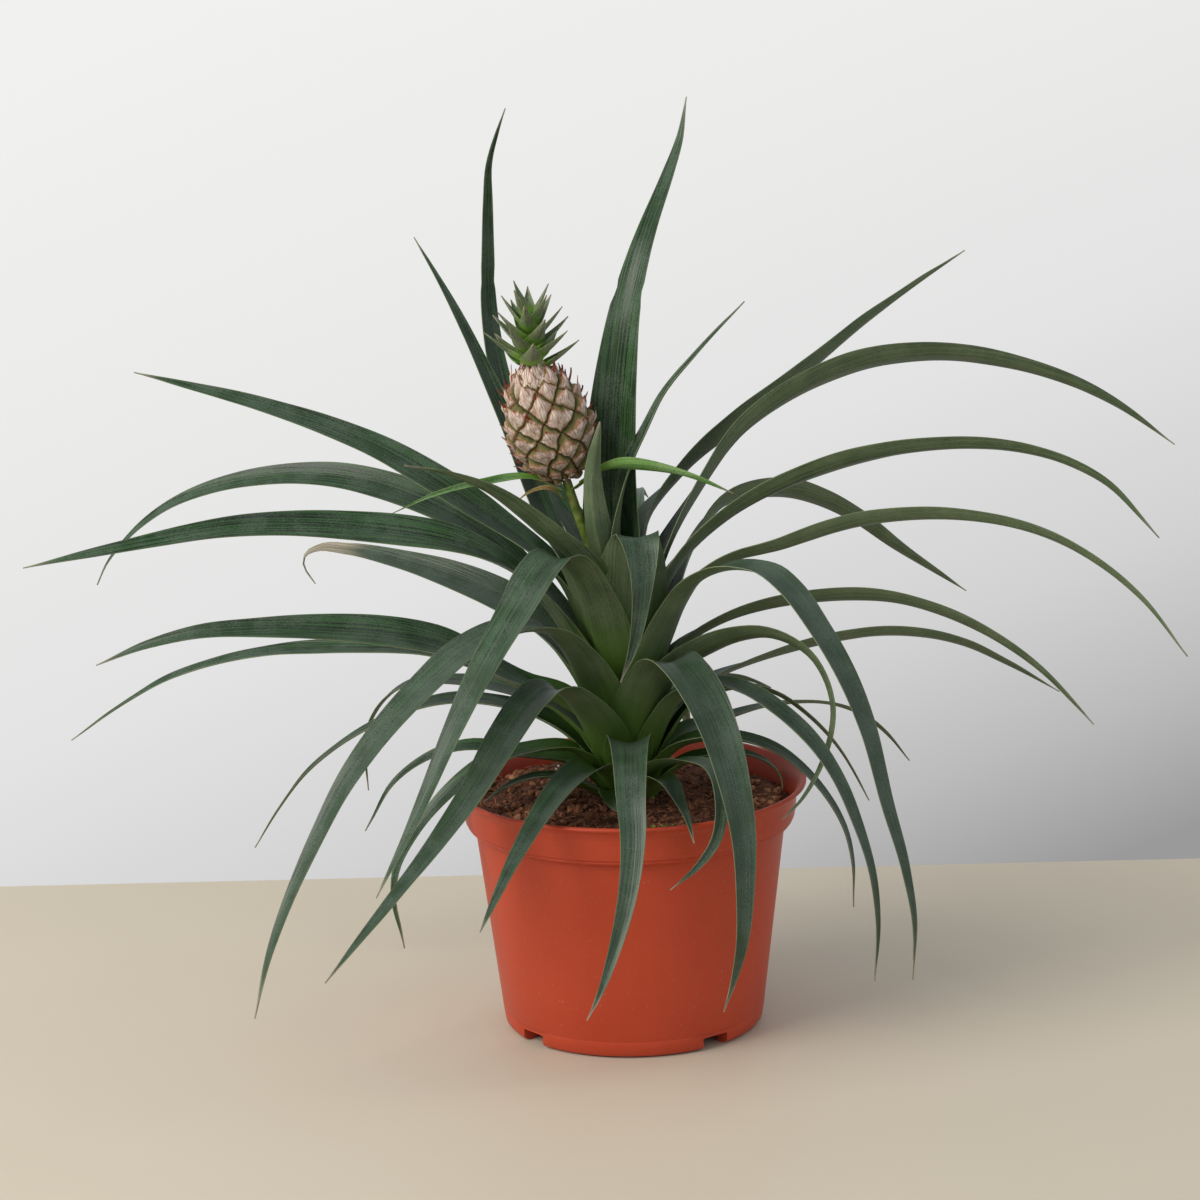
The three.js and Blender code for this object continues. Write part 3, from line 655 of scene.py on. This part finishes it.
grain = add(tree, "ShaderNodeTexNoise", {"Vector": place, "Scale": 1 / (0.45 * MM), "Detail": 2})
rub = add(tree, "ShaderNodeMapRange",
          {"Value": cloud, "From Min": 0.3, "From Max": 0.7, "To Min": 0.4, "To Max": 0.52})
bump = add(tree, "ShaderNodeBump", {"Height": grain, "Strength": 0.12, "Distance": 0.1 * MM})
feed(shader, base_color=dusty, roughness=rub, normal=bump)
pot_piece.data.materials.clear()
pot_piece.data.materials.append(plastic)
hand_over(pot_piece, "pot_plastic", "pot")


# ---- Growing medium ----
SOIL_LEVEL = 99 * MM
SOIL_RADIUS = 69.2 * MM
HEAP_PLACE = Vector((-30, 35)) * MM
HEAP_SPREAD = 22 * MM
HEAP_HEIGHT = 3 * MM
EDGE_DROP = 2.5 * MM
EDGE_WIDTH = 7 * MM
SETTLED = 0.8 * MM
SOIL_FOOT_RADIUS = 53.4 * MM
FLOOR_GAP, WALL_GAP = 0.2 * MM, 0.4 * MM
SOIL_RINGS = 44
SOIL_SIDES = 192
LUMPS = ((24, 1.5), (8, 1.4), (3.2, 0.9))  # each size of lump and how high it lifts, in millimetres


def soil_height(x, y):
    """The medium's uneven top: a low heap, lumps of three sizes and a drop towards the wall."""
    apart = (Vector((x, y)) - HEAP_PLACE).length
    height = SOIL_LEVEL - SETTLED + HEAP_HEIGHT * math.exp(-((apart / HEAP_SPREAD) ** 2))
    for size, lift in LUMPS:
        height += lift * MM * noise.noise(Vector((x, y, 0)) / (size * MM))
    distance = math.hypot(x, y)
    return height - EDGE_DROP * ease(distance, SOIL_RADIUS - EDGE_WIDTH, SOIL_RADIUS)


soil = made(bpy.ops.mesh.primitive_cylinder_add, "coir_medium", vertices=SOIL_SIDES, radius=SOIL_RADIUS,
            depth=SOIL_LEVEL - FLOOR_TOP)
soil.data.transform(Matrix.Translation((0, 0, (SOIL_LEVEL + FLOOR_TOP) / 2 + FLOOR_GAP)))
bpy.ops.object.mode_set(mode="EDIT")
bpy.ops.mesh.select_all(action="DESELECT")
bpy.ops.object.mode_set(mode="OBJECT")
for face in soil.data.polygons:
    face.select = face.normal.z > 0.5
bpy.ops.object.mode_set(mode="EDIT")
for _ in range(SOIL_RINGS):
    bpy.ops.mesh.inset(thickness=SOIL_RADIUS / (SOIL_RINGS + 2))
for height in (BAND_BOTTOM, BAND_BOTTOM + 6.5 * MM):
    bpy.ops.mesh.select_all(action="SELECT")
    bpy.ops.mesh.bisect(plane_co=(0, 0, height), plane_no=(0, 0, 1))
bpy.ops.object.mode_set(mode="OBJECT")
for point in soil.data.vertices:
    if point.co.z > SOIL_LEVEL - MM:
        point.co.z = soil_height(point.co.x, point.co.y)
    elif point.co.z < BAND_BOTTOM + MM:
        low = point.co.z < BAND_BOTTOM - MM
        share = (SOIL_FOOT_RADIUS if low else CONE_TOP_RADIUS - WALL - WALL_GAP) / SOIL_RADIUS
        point.co.x *= share
        point.co.y *= share

# Coir pith and peat, which give the eye a dark red-brown crumb with lighter husk.
coir, tree, shader = material("coir_and_peat", roughness=0.95, ior=1.4)
place = add(tree, "ShaderNodeTexCoord", {})
lump = add(tree, "ShaderNodeTexNoise",
           {"Vector": place, "Scale": 1 / (5 * MM), "Detail": 6, "Roughness": 0.7})
body = add(tree, "ShaderNodeValToRGB", {"Fac": lump},
           stops=[(0.3, "#2E1B11"), (0.5, "#633C29"), (0.72, "#93634A")])
crumb = add(tree, "ShaderNodeTexNoise", {"Vector": place, "Scale": 1 / (1.1 * MM), "Detail": 4})
bump = add(tree, "ShaderNodeBump", {"Height": crumb, "Strength": 0.9, "Distance": 1.2 * MM})
feed(shader, base_color=body, normal=bump)


def plain_matter(name, colours, grain_size, roughness):
    """A dull natural matter with a mottle of the colours and a fine relief."""
    matter, tree, shader = material(name, roughness=roughness, ior=1.42)
    place = add(tree, "ShaderNodeTexCoord", {})
    mottle = add(tree, "ShaderNodeTexNoise", {"Vector": place, "Scale": 1 / grain_size, "Detail": 4})
    stops = [(mix(0.32, 0.68, i / (len(colours) - 1)), c) for i, c in enumerate(colours)]
    body = add(tree, "ShaderNodeValToRGB", {"Fac": mottle}, stops=stops)
    bump = add(tree, "ShaderNodeBump", {"Height": mottle, "Strength": 0.6, "Distance": grain_size / 3})
    feed(shader, base_color=body, normal=bump)
    return matter


# Husk, crumbs and fibre of the coir, which give the eye lighter red-brown flakes and threads in the dark
# medium, with a few white grains of perlite and some moss in front of the stem.
HUSK = plain_matter("coir_husk", ["#5A3624", "#8A5A40", "#B0805C"], 2.6 * MM, 0.9)
CRUMB = plain_matter("peat_crumb", ["#3A2216", "#6C4430", "#93654B"], 2.2 * MM, 0.95)
FIBRE = plain_matter("coir_fibre", ["#4A2C1C", "#84553A", "#B07E58"], 5 * MM, 0.8)
PERLITE = plain_matter("perlite", ["#B9B4A8", "#DAD6CC"], 1.2 * MM, 0.9)
MOSS = plain_matter("moss", ["#3C4E1C", "#5F7A2C", "#7F9A40"], 1.6 * MM, 0.8)

chance = random.Random("medium")
TILT = 0.6  # the most that a scattered piece leans, in radians


def scattered(template, count, sizes, matter, sink, spread=SOIL_RADIUS - 2.5 * MM, centre=None, flat=0.7):
    """Turned copies of a template laid over the medium's top, or about a centre."""
    copies = []
    for _ in range(count):
        reach = spread * math.sqrt(chance.random())
        heading = chance.uniform(0, 2 * math.pi)
        x, y = reach * math.cos(heading), reach * math.sin(heading)
        if centre:
            x, y = x + centre[0], y + centre[1]
        size = chance.uniform(*sizes)
        turned = Matrix.Rotation(chance.uniform(0, 6.3), 4, "Z") @ Matrix.Rotation(
            chance.uniform(-TILT, TILT), 4, "X") @ Matrix.Rotation(chance.uniform(-TILT, TILT), 4, "Y")
        form = Matrix.Diagonal((size, size * chance.uniform(0.6, 1), size * chance.uniform(flat, 1), 1))
        spot = Matrix.Translation((x, y, soil_height(x, y) + size * sink))
        copies.append(copied(template, "scattered", spot @ turned @ form))
    for twin in copies:
        twin.data.materials.clear()
        twin.data.materials.append(matter)
    return copies


def lump_template(seed):
    """A rough crumb of twenty faces, about one unit in radius."""
    crumb = made(bpy.ops.mesh.primitive_ico_sphere_add, "crumb", subdivisions=1, radius=1)
    for point in crumb.data.vertices:
        point.co *= 1 + 0.45 * noise.noise(point.co * 1.7 + Vector((seed, 0, 0)))
    return crumb


def fibre_template(seed):
    """A bent fibre one unit long, a thin square tube."""
    fibre = made(bpy.ops.mesh.primitive_cylinder_add, "fibre", vertices=4, radius=0.035, depth=1,
                 end_fill_type="NGON")
    bpy.ops.object.mode_set(mode="EDIT")
    for height in (-0.25, 0, 0.25):
        bpy.ops.mesh.select_all(action="SELECT")
        bpy.ops.mesh.bisect(plane_co=(0, 0, height), plane_no=(0, 0, 1))
    bpy.ops.object.mode_set(mode="OBJECT")
    fibre.data.transform(Matrix.Rotation(math.pi / 2, 4, "X"))
    for point in fibre.data.vertices:
        point.co.x += 0.22 * math.sin(3 * point.co.y + seed)
        point.co.z += 0.16 * math.cos(2.2 * point.co.y + 1.7 * seed)
    return fibre


MOSS_PLACE = (8 * MM, -52 * MM)
MOSS_SPREAD = 13 * MM
SHAPES = 3  # the number of different crumbs, and of different fibres
pieces = []
templates = []
for seed in range(SHAPES):
    lump = lump_template(seed)
    templates.append(lump)
    pieces += scattered(lump, 420, (0.5 * MM, 1.5 * MM), CRUMB, 0.1)
    pieces += scattered(lump, 55, (1.6 * MM, 3.0 * MM), HUSK, 0.15, flat=0.4)
    pieces += scattered(lump, 5, (0.6 * MM, 1.3 * MM), PERLITE, 0.5)
    pieces += scattered(lump, 26, (0.5 * MM, 1.2 * MM), MOSS, 0.3, MOSS_SPREAD, MOSS_PLACE)
for seed in range(SHAPES):
    fibre = fibre_template(seed)
    templates.append(fibre)
    pieces += scattered(fibre, 110, (4 * MM, 11 * MM), FIBRE, 0.05)
soil.data.materials.append(coir)
smoothed(soil, 60)
soil = merged([soil] + pieces, "coir_medium")
for template in templates:
    bpy.data.objects.remove(template)
hand_over(soil, "growing_medium", "growing_medium")


# ---- Stem and peduncle ----
def smooth_copy(node, name, slot, matter, levels, slimmer=0):
    """A merged and subdivided copy of a CAD node, slimmed by a distance."""
    form = joined(node)
    piece = bpy.data.objects.new(name, bpy.data.meshes.new(name))
    form.to_mesh(piece.data)
    form.free()
    bpy.context.scene.collection.objects.link(piece)
    shaped(piece, "SUBSURF", levels=levels, render_levels=levels)
    if slimmer:
        shaped(piece, "DISPLACE", strength=-slimmer, mid_level=0)
    piece.data.materials.append(matter)
    return hand_over(smoothed(piece, 50), slot, node)


STALK_SLIMMING = 0.7 * MM
# Young stem and fruit stalk, which give the eye a soft yellow green with a faint olive mottle.
STEM_SKIN = plain_matter("young_stem_tissue", ["#4E6B22", "#6E8E32", "#8FA84A"], 6 * MM, 0.5)
STALK_SKIN = plain_matter("peduncle_skin", ["#4F6424", "#6D8434", "#8C8A4A"], 4 * MM, 0.5)
smooth_copy("stem", "smooth_stem", "stem", STEM_SKIN, 2)
smooth_copy("peduncle", "smooth_peduncle", "stalk", STALK_SKIN, 2, STALK_SLIMMING)


# ---- Fruit ----
form = joined("fruit")
poles = sorted(form.verts, key=lambda point: -len(point.link_edges))[:2]
fruit_foot, fruit_head = sorted((pole.co.copy() for pole in poles), key=lambda co: co.z)
fruit_axis = (fruit_head - fruit_foot).normalized()
FRUIT_LENGTH = (fruit_head - fruit_foot).length
FRUIT_GIRTH = max((point.co - fruit_foot).cross(fruit_axis).length for point in form.verts)
form.free()
EYE_ROOM = 3.3 * MM  # the most that the eyes stand out of the fruit
FRUIT_RADIUS = FRUIT_GIRTH - EYE_ROOM
fruit_front = Vector((0, -1, 0))
fruit_front = (fruit_front - fruit_axis * fruit_front.dot(fruit_axis)).normalized()
fruit_right = fruit_front.cross(fruit_axis) * -1
EYES_ROUND = 8
EYE_ROWS = 10
EYE_SWELL = 2.9 * MM
OUTLINE_STEPS = 200
# An eye's form, in shares of its size: how wide its groove is, how high its bract reaches in the middle
# and falls to the sides, and where it peaks. Its swell is a base and a peak, less behind the bract.
GROOVE_WIDTH = 0.085
BRACT_TOP, BRACT_FALL = 0.47, 0.56
PEAK_UP, PEAK_SPREAD = 0.16, 0.18
EYE_BASE, EYE_PEAK, EYE_STEP = 0.4, 0.62, 0.24
# How far eyes stray from an even lattice, and how much each is jostled, as shares of their spacing.
STRAY_ASIDE, STRAY_UP = 0.2, 0.42
JOSTLE_ASIDE, JOSTLE_UP = 0.05, 0.11


def fruit_radius(share):
    """The fruit's outline without its eyes, at a share of its height."""
    return FRUIT_RADIUS * max(math.sin(math.pi * min(max(share, 0), 1) ** 0.92), 0) ** 0.55


# The distance along the outline up to each step of the height, as a share of the whole.
outline = [0.0]
for k in range(OUTLINE_STEPS):
    widening = fruit_radius((k + 1) / OUTLINE_STEPS) - fruit_radius(k / OUTLINE_STEPS)
    outline.append(outline[-1] + math.hypot(FRUIT_LENGTH / OUTLINE_STEPS, widening))
outline = [distance / outline[-1] for distance in outline]


def height_of(row):
    """The share of the height at which a row of eyes lies."""
    wanted = min(max((row + 0.5) / EYE_ROWS, 0), 1)
    i = min(max(bisect_right(outline, wanted) - 1, 0), len(outline) - 2)
    return (i + (wanted - outline[i]) / (outline[i + 1] - outline[i])) / OUTLINE_STEPS


def wander(turn, row):
    """How far the eyes stray from their even lattice, round the fruit and up it."""
    spot = Vector((math.cos(turn) * 1.8, math.sin(turn) * 1.8, row * 0.5))
    aside = STRAY_ASIDE * noise.noise(spot) + JOSTLE_ASIDE * noise.noise(4 * spot)
    climb = STRAY_UP * noise.noise(spot + Vector((7, 3, 9)))
    return aside, climb + JOSTLE_UP * noise.noise(4 * spot + Vector((2, 8, 5)))


def eye_field(turn, row):
    """Where a point lies in its eye: up, aside, distance from the groove, and the eye's own seed."""
    shift, climb = wander(turn, row)
    round_share = EYES_ROUND * turn / (2 * math.pi) + shift
    row += climb
    a, b = round_share + row / 2, round_share - row / 2
    near_a, near_b = round(a), round(b)
    a, b = a - near_a, b - near_b
    own = random.Random((near_a % EYES_ROUND) * 31 + (near_a - near_b) * 7).random()
    return a - b, a + b, 0.5 - max(abs(a), abs(b)), own


def on_fruit(turn, row, lift):
    """The point of the fruit's skin at a turn and row, raised by the lift, and which way it faces."""
    share = height_of(row)
    radius = fruit_radius(share)
    outward = fruit_front * math.cos(turn) + fruit_right * math.sin(turn)
    step = 0.01
    rise = fruit_radius(min(share + step, 1)) - fruit_radius(max(share - step, 0))
    slope = math.atan2(-rise, 2 * step * FRUIT_LENGTH)
    normal = outward * math.cos(slope) + fruit_axis * math.sin(slope)
    return fruit_foot + fruit_axis * share * FRUIT_LENGTH + outward * radius + normal * lift, normal


def bract_edge(side):
    """How far up its eye a bract reaches, which is highest at the eye's middle."""
    return BRACT_TOP - BRACT_FALL * abs(side)


def swell(up, side, own):
    """How far an eye stands out: it peaks under its bract's point and drops behind the bract."""
    depth = 0.5 - max(abs(up + side), abs(side - up)) / 2
    pad = ease(depth, 0, GROOVE_WIDTH) ** 0.8
    peak = math.exp(-((up - PEAK_UP) ** 2 + 0.8 * side**2) / PEAK_SPREAD)
    behind = ease(up, bract_edge(side) - 0.02, bract_edge(side) + 0.08)
    return EYE_SWELL * mix(0.8, 1.15, own) * pad * (EYE_BASE + EYE_PEAK * peak - EYE_STEP * behind)


SKIN_COLUMNS = 340
SKIN_RINGS = 190

skin_piece = made(bpy.ops.mesh.primitive_uv_sphere_add, "fruit_skin", segments=SKIN_COLUMNS,
                  ring_count=SKIN_RINGS, radius=1)
mesh = skin_piece.data
values = {"groove": [], "paper": [], "ridge": [], "upward": [], "aside": [], "own": []}
for point in mesh.vertices:
    share = math.acos(min(max(-point.co.z, -1), 1)) / math.pi
    turn = math.atan2(point.co.y, point.co.x)
    row = share * EYE_ROWS - 0.5
    up, side, depth, own = eye_field(turn, row)
    flat = ease(share, 0, 0.06) * (1 - ease(share, 0.94, 1))
    point.co = on_fruit(turn, row, swell(up, side, own) * flat)[0]
    fray = 0.12 * noise.noise(point.co / (1.4 * MM))
    values["groove"].append(depth)
    values["paper"].append(ease(bract_edge(side) - up + fray, -0.05, 0.11) * ease(depth, 0.0, 0.04))
    values["ridge"].append(1 - ease(math.hypot(up - 0.2, side), 0.05, 0.6))
    values["upward"].append(up)
    values["aside"].append(side)
    values["own"].append(own)
keep_values(mesh, **values)

PAPER_STOPS = [(0.3, "#7A5A42"), (0.43, "#B29683"), (0.56, "#D2C2B7"), (0.68, "#E9E1DB")]
STREAKS = (10, 1.7, 37)  # streaks across an eye and along it, and how far the next eye's differ

# Fused eyes of the fruit: firm olive rind in the grooves and above each bract, and papery streaked
# bracts grown onto it below. Deep in the grooves the rind is painted almost black and the bracts darker
# olive, a painted shade in the creases over the rind's own olive.
rind, tree, shader = material("fused_fruit_rind", roughness=0.55, ior=1.42, specular_ior_level=0.35)
place = add(tree, "ShaderNodeTexCoord", {})
grain = add(tree, "ShaderNodeTexNoise",
            {"Vector": place, "Scale": 1 / (1.0 * MM), "Detail": 5, "Roughness": 0.7})
blotch = add(tree, "ShaderNodeTexNoise", {"Vector": place, "Scale": 1 / (2.2 * MM), "Detail": 5})
depth, sheet, ridge, up, side, own = (
    add(tree, "ShaderNodeAttribute", {}, attribute_name=kind) for kind in values
)
ragged = add(tree, "ShaderNodeMath", {0: grain, 1: 0.14, 2: depth}, operation="MULTIPLY_ADD")
# Painted shade: the rind's olive turns almost black towards the bottom of each groove.
body = add(tree, "ShaderNodeValToRGB", {"Fac": ragged},
           stops=[(0.06, "#1C1B0C"), (0.09, "#3D3E1A"), (0.16, "#626032"), (0.4, "#8A7C50")])
flushed = add(tree, "ShaderNodeMath", {0: ridge, 1: blotch}, operation="MULTIPLY")
flush = add(tree, "ShaderNodeMapRange", {"Value": flushed, "From Min": 0.2, "From Max": 0.5, "To Max": 0.5})
upper = add(tree, "ShaderNodeMix", {FACTOR: flush, FIRST: body, SECOND: "#B57B5C"}, data_type="RGBA")
fan = add(tree, "ShaderNodeCombineXYZ", {"X": side, "Y": up, "Z": own})
fan = add(tree, "ShaderNodeMapping", {"Vector": fan, "Scale": STREAKS})
fibre = add(tree, "ShaderNodeTexNoise", {"Vector": fan, "Scale": 1, "Detail": 5, "Roughness": 0.65})
paper = add(tree, "ShaderNodeValToRGB", {"Fac": fibre}, stops=PAPER_STOPS)
rosy = add(tree, "ShaderNodeMapRange", {"Value": blotch, "From Min": 0.48, "From Max": 0.68, "To Max": 0.4})
blushed = add(tree, "ShaderNodeMix", {FACTOR: rosy, FIRST: paper, SECOND: "#B98068"}, data_type="RGBA")
# Painted shade: a bract darkens to olive where it meets the groove.
groove_shade = add(tree, "ShaderNodeMapRange",
           {"Value": ragged, "From Min": 0.06, "From Max": 0.17, "To Min": 0.9, "To Max": 0})
lower = add(tree, "ShaderNodeMix", {FACTOR: groove_shade, FIRST: blushed, SECOND: "#6A6236"}, data_type="RGBA")
heel = add(tree, "ShaderNodeMapRange",
           {"Value": up, "From Min": -0.9, "From Max": -0.25, "To Min": 0.7, "To Max": 0})
heeled = add(tree, "ShaderNodeMix", {FACTOR: heel, FIRST: lower, SECOND: "#847A4A"}, data_type="RGBA")
skinned = add(tree, "ShaderNodeMix", {FACTOR: sheet, FIRST: upper, SECOND: heeled}, data_type="RGBA")
brink = add(tree, "ShaderNodeValToRGB", {"Fac": sheet},
            stops=[(0.1, "#000000"), (0.5, "#DDDDDD"), (0.9, "#000000")])
edged = add(tree, "ShaderNodeMix", {FACTOR: brink, FIRST: skinned, SECOND: "#A75F3B"}, data_type="RGBA")
coarse = add(tree, "ShaderNodeMath", {0: fibre, 1: 0.7, 2: grain}, operation="MULTIPLY_ADD")
bump = add(tree, "ShaderNodeBump", {"Height": coarse, "Strength": 1, "Distance": 0.8 * MM})
feed(shader, base_color=edged, normal=bump)
mesh.materials.append(rind)
smoothed(skin_piece, 180)


def paper_skin(name, stops, edge, point_colour):
    """Drying bract: papery and streaked along, orange-brown at its margins, withered at its point."""
    skin, tree, shader = material(name, roughness=0.62, ior=1.4)
    flat = add(tree, "ShaderNodeUVMap", {}, uv_map="UVMap")
    scaled = add(tree, "ShaderNodeMapping", {"Vector": flat, "Scale": (1 / (0.5 * MM), 1 / (5 * MM), 1)})
    streak = add(tree, "ShaderNodeTexNoise", {"Vector": scaled, "Scale": 1, "Detail": 3})
    body = add(tree, "ShaderNodeValToRGB", {"Fac": streak}, stops=stops)
    margin = add(tree, "ShaderNodeAttribute", {}, attribute_name="edge")
    close = add(tree, "ShaderNodeMapRange",
                {"Value": margin, "From Min": 0.1 * MM, "From Max": 0.6 * MM, "To Min": 0.9, "To Max": 0})
    edged = add(tree, "ShaderNodeMix", {FACTOR: close, FIRST: body, SECOND: edge}, data_type="RGBA")
    dry = add(tree, "ShaderNodeAttribute", {}, attribute_name="dry")
    whole = add(tree, "ShaderNodeMix", {FACTOR: dry, FIRST: edged, SECOND: point_colour}, data_type="RGBA")
    bump = add(tree, "ShaderNodeBump", {"Height": streak, "Strength": 0.5, "Distance": 0.3 * MM})
    feed(shader, base_color=whole, normal=bump)
    return skin


# Dry bract and withered flower, which give the eye pale papery streaks with orange-brown margins, and
# dull rust-coloured wisps.
BEAK_STOPS = [(0.3, "#7A5C46"), (0.43, "#AC9280"), (0.56, "#CDBDB2"), (0.68, "#E4DAD3")]
PAPER = paper_skin("papery_eye_bract", BEAK_STOPS, "#9C5634", "#7E4226")
WITHERED = paper_skin("withered_flower", [(0.35, "#7E3A22"), (0.62, "#A5512F")], "#8C452A", "#5B2A1A")

BRACT_STATIONS = 7
BEAK_HALF_WIDTH = 4.6 * MM
COLLAR_BRACTS = 11
COLLAR_FOOT, COLLAR_TOP = 7.4, 9.15  # the rows of eyes from which and to which a collar bract reaches
COLLAR_HALF_WIDTH = 3.1 * MM
LEAST_HALF_WIDTH = 0.2 * MM
REMNANT_STATIONS = 5
REMNANT_HALF_WIDTH = 0.95 * MM


def eye_bract(turn, row, own, chance):
    """The free point of an eye's bract, which lifts off the eye and narrows to a beak."""
    stations = []
    top = mix(0.5, 0.78, own) * chance.uniform(0.85, 1.1)
    skew = chance.uniform(-0.05, 0.05)
    curl = chance.uniform(1.0, 2.8) * MM
    girth = fruit_radius(height_of(row)) / FRUIT_RADIUS
    for k in range(BRACT_STATIONS):
        share = k / (BRACT_STATIONS - 1)
        up = mix(-0.15, top, share)
        lift = mix(-0.35, 0.3, min(3 * share, 1)) * MM + swell(min(up, 0.15), 0, own)
        lift += curl * ease(share, 0.5, 1.1)
        centre, normal = on_fruit(turn + skew * share, row + up, lift)
        ahead = on_fruit(turn + skew * share, row + up + 0.1, lift)[0] - centre
        across = normal.cross(ahead).normalized() * -1
        taper = (1 - share) ** 1.2 * mix(0.8, 1, min(4 * share, 1))
        half = max(BEAK_HALF_WIDTH * girth * taper, LEAST_HALF_WIDTH)
        stations.append([centre, across * half, normal * -0.4 * half])
    return stations


def collar_bract(turn):
    """A long papery bract that lies up the fruit's shoulder against the crown."""
    stations = []
    for k in range(BRACT_STATIONS):
        share = k / (BRACT_STATIONS - 1)
        row = mix(COLLAR_FOOT, COLLAR_TOP, share)
        centre, normal = on_fruit(turn, row, mix(0.4, 1.6, share) * MM)
        centre += UP * 4 * MM * ease(share, 0.5, 1.1)
        ahead = on_fruit(turn, row + 0.1, MM)[0] - centre + UP * MM
        across = normal.cross(ahead).normalized() * -1
        swelling = math.sin(math.pi * (0.25 + 0.75 * share)) ** 0.8
        half = max(COLLAR_HALF_WIDTH * swelling, LEAST_HALF_WIDTH)
        stations.append([centre, across * half, normal * -0.3 * half])
    return stations


parts = [skin_piece]
for k in range(EYE_ROWS):
    for n in range(EYES_ROUND):
        turn = 2 * math.pi * (n + (k % 2) / 2) / EYES_ROUND
        shift, climb = wander(turn, k)
        turn, row = turn - shift * 2 * math.pi / EYES_ROUND, k - climb
        own = eye_field(turn, row)[3]
        if 0.04 < height_of(row) < 0.95:
            beak = eye_bract(turn, row, own, random.Random(f"{k} {n}"))
            parts.append(blade(f"eye_bract_{k}_{n}", beak, (PAPER,), dry=0.72, step=1.2 * MM,
                               thickness=0.35 * MM, wave=0.5 * MM, columns=6))
for n in range(COLLAR_BRACTS):
    turn = 2 * math.pi * (n + 0.3) / COLLAR_BRACTS
    parts.append(blade(f"collar_bract_{n}", collar_bract(turn), (PAPER,), dry=0.8, step=1.4 * MM,
                       thickness=0.35 * MM, wave=0.4 * MM, columns=6))
# Withered flowers that still stand on some eyes: turn from the front in degrees, row, and length in
# millimetres.
REMNANTS = [(60, 7.9, 5.5), (68, 7.4, 5.5), (84, 6.9, 5.5), (96, 5.8, 3), (100, 4.6, 3.2), (97, 3.5, 3),
            (-78, 7, 6), (-84, 6.4, 3.5), (-88, 2.6, 3), (-4, 6.6, 2.4), (-22, 5.6, 2.4), (150, 6.8, 5),
            (190, 7.6, 5.5), (215, 5.6, 4), (240, 7.2, 5)]
for k, (degrees, row, length) in enumerate(REMNANTS):
    start, normal = on_fruit(math.radians(degrees), row, 1.2 * MM)
    lean = (normal + fruit_axis * (0.9 + 0.3 * math.sin(k))).normalized()
    across = lean.cross(normal).normalized()
    stations = []
    for i in range(REMNANT_STATIONS):
        share = i / (REMNANT_STATIONS - 1)
        spot = start + lean * length * MM * share + normal * 0.6 * MM * math.sin(3 * share)
        half = max(REMNANT_HALF_WIDTH * math.sin(math.pi * (0.2 + 0.75 * share)), NARROWEST)
        stations.append([spot, across * half, normal * 0.3 * half])
    parts.append(blade(f"remnant_{k}", stations, (WITHERED,), dry=0.6, step=1.2 * MM,
                       thickness=1.1 * MM, wave=0.3 * MM, columns=4))
hand_over(merged(parts, "fruit_of_fused_eyes"), "fruit_skin", "fruit")


# ---- Crown ----
CROWN_LEAVES = 23
CROWN_STATIONS = 7
GOLDEN_ANGLE = math.radians(137.5)
# From the crown's lowest leaf to its highest, in millimetres.
CROWN_FOOT_HEIGHT = (-0.5, 22)
CROWN_FOOT_OUT = (5, 1.5)
CROWN_REACH = (15.5, 6)
CROWN_LIFT = (11.5, 14)
CROWN_HALF_WIDTH = (5.5, 3.9)
CROWN_CHANNEL = 0.42  # how deep a leaf is folded, as a share of its half width

# Short young leaves, which give the eye a dull grey green that turns bright green at their feet.
crown_upper = leaf_skin("crown_upper_face", "#33431F", "#5F7340", "#586646", "#8A9478", "#6C9A2C", 0.4, 0.45,
                        6 * MM)
crown_under = leaf_skin("crown_under_face", "#3C4B2A", "#6B7B50", "#616C52", "#98A088", "#6E9C30", 0.5, 0.5,
                        8 * MM)
crown_skins = (crown_upper, crown_under, crown_under)
parts = []
for k in range(CROWN_LEAVES):
    share = k / (CROWN_LEAVES - 1)
    turn = GOLDEN_ANGLE * k
    outward = Vector((math.cos(turn), math.sin(turn), 0))
    aside = UP.cross(outward)
    foot = fruit_head + UP * mix(*CROWN_FOOT_HEIGHT, share) * MM + outward * mix(*CROWN_FOOT_OUT, share) * MM
    reach = mix(*CROWN_REACH, share**1.5) * MM
    rise = mix(*CROWN_LIFT, share) * MM
    widest = mix(*CROWN_HALF_WIDTH, share) * MM
    stations = []
    for i in range(CROWN_STATIONS):
        t = i / (CROWN_STATIONS - 1)
        spot = foot + outward * reach * t**1.1 + UP * rise * t**1.35
        half = max(widest * min(1, (1 - t) / 0.8) ** 0.9 * (1 - 0.2 * (1 - t) ** 6), NARROWEST)
        ahead = outward * reach * 1.1 * max(t, 0.05) ** 0.1 + UP * rise * 1.35 * max(t, 0.05) ** 0.35
        inward = ahead.cross(aside).normalized()
        if inward.dot(UP - outward) < 0:
            inward.negate()
        stations.append([spot, aside * half, inward * half * CROWN_CHANNEL])
    parts.append(blade(f"crown_leaf_{k}", faced(stations), crown_skins, dry=0.84, tone=0.4, step=1.4 * MM,
                       thickness=0.7 * MM, wave=0.25 * MM, columns=8))
hand_over(merged(parts, "crown_of_leaves"), "crown", "crown")
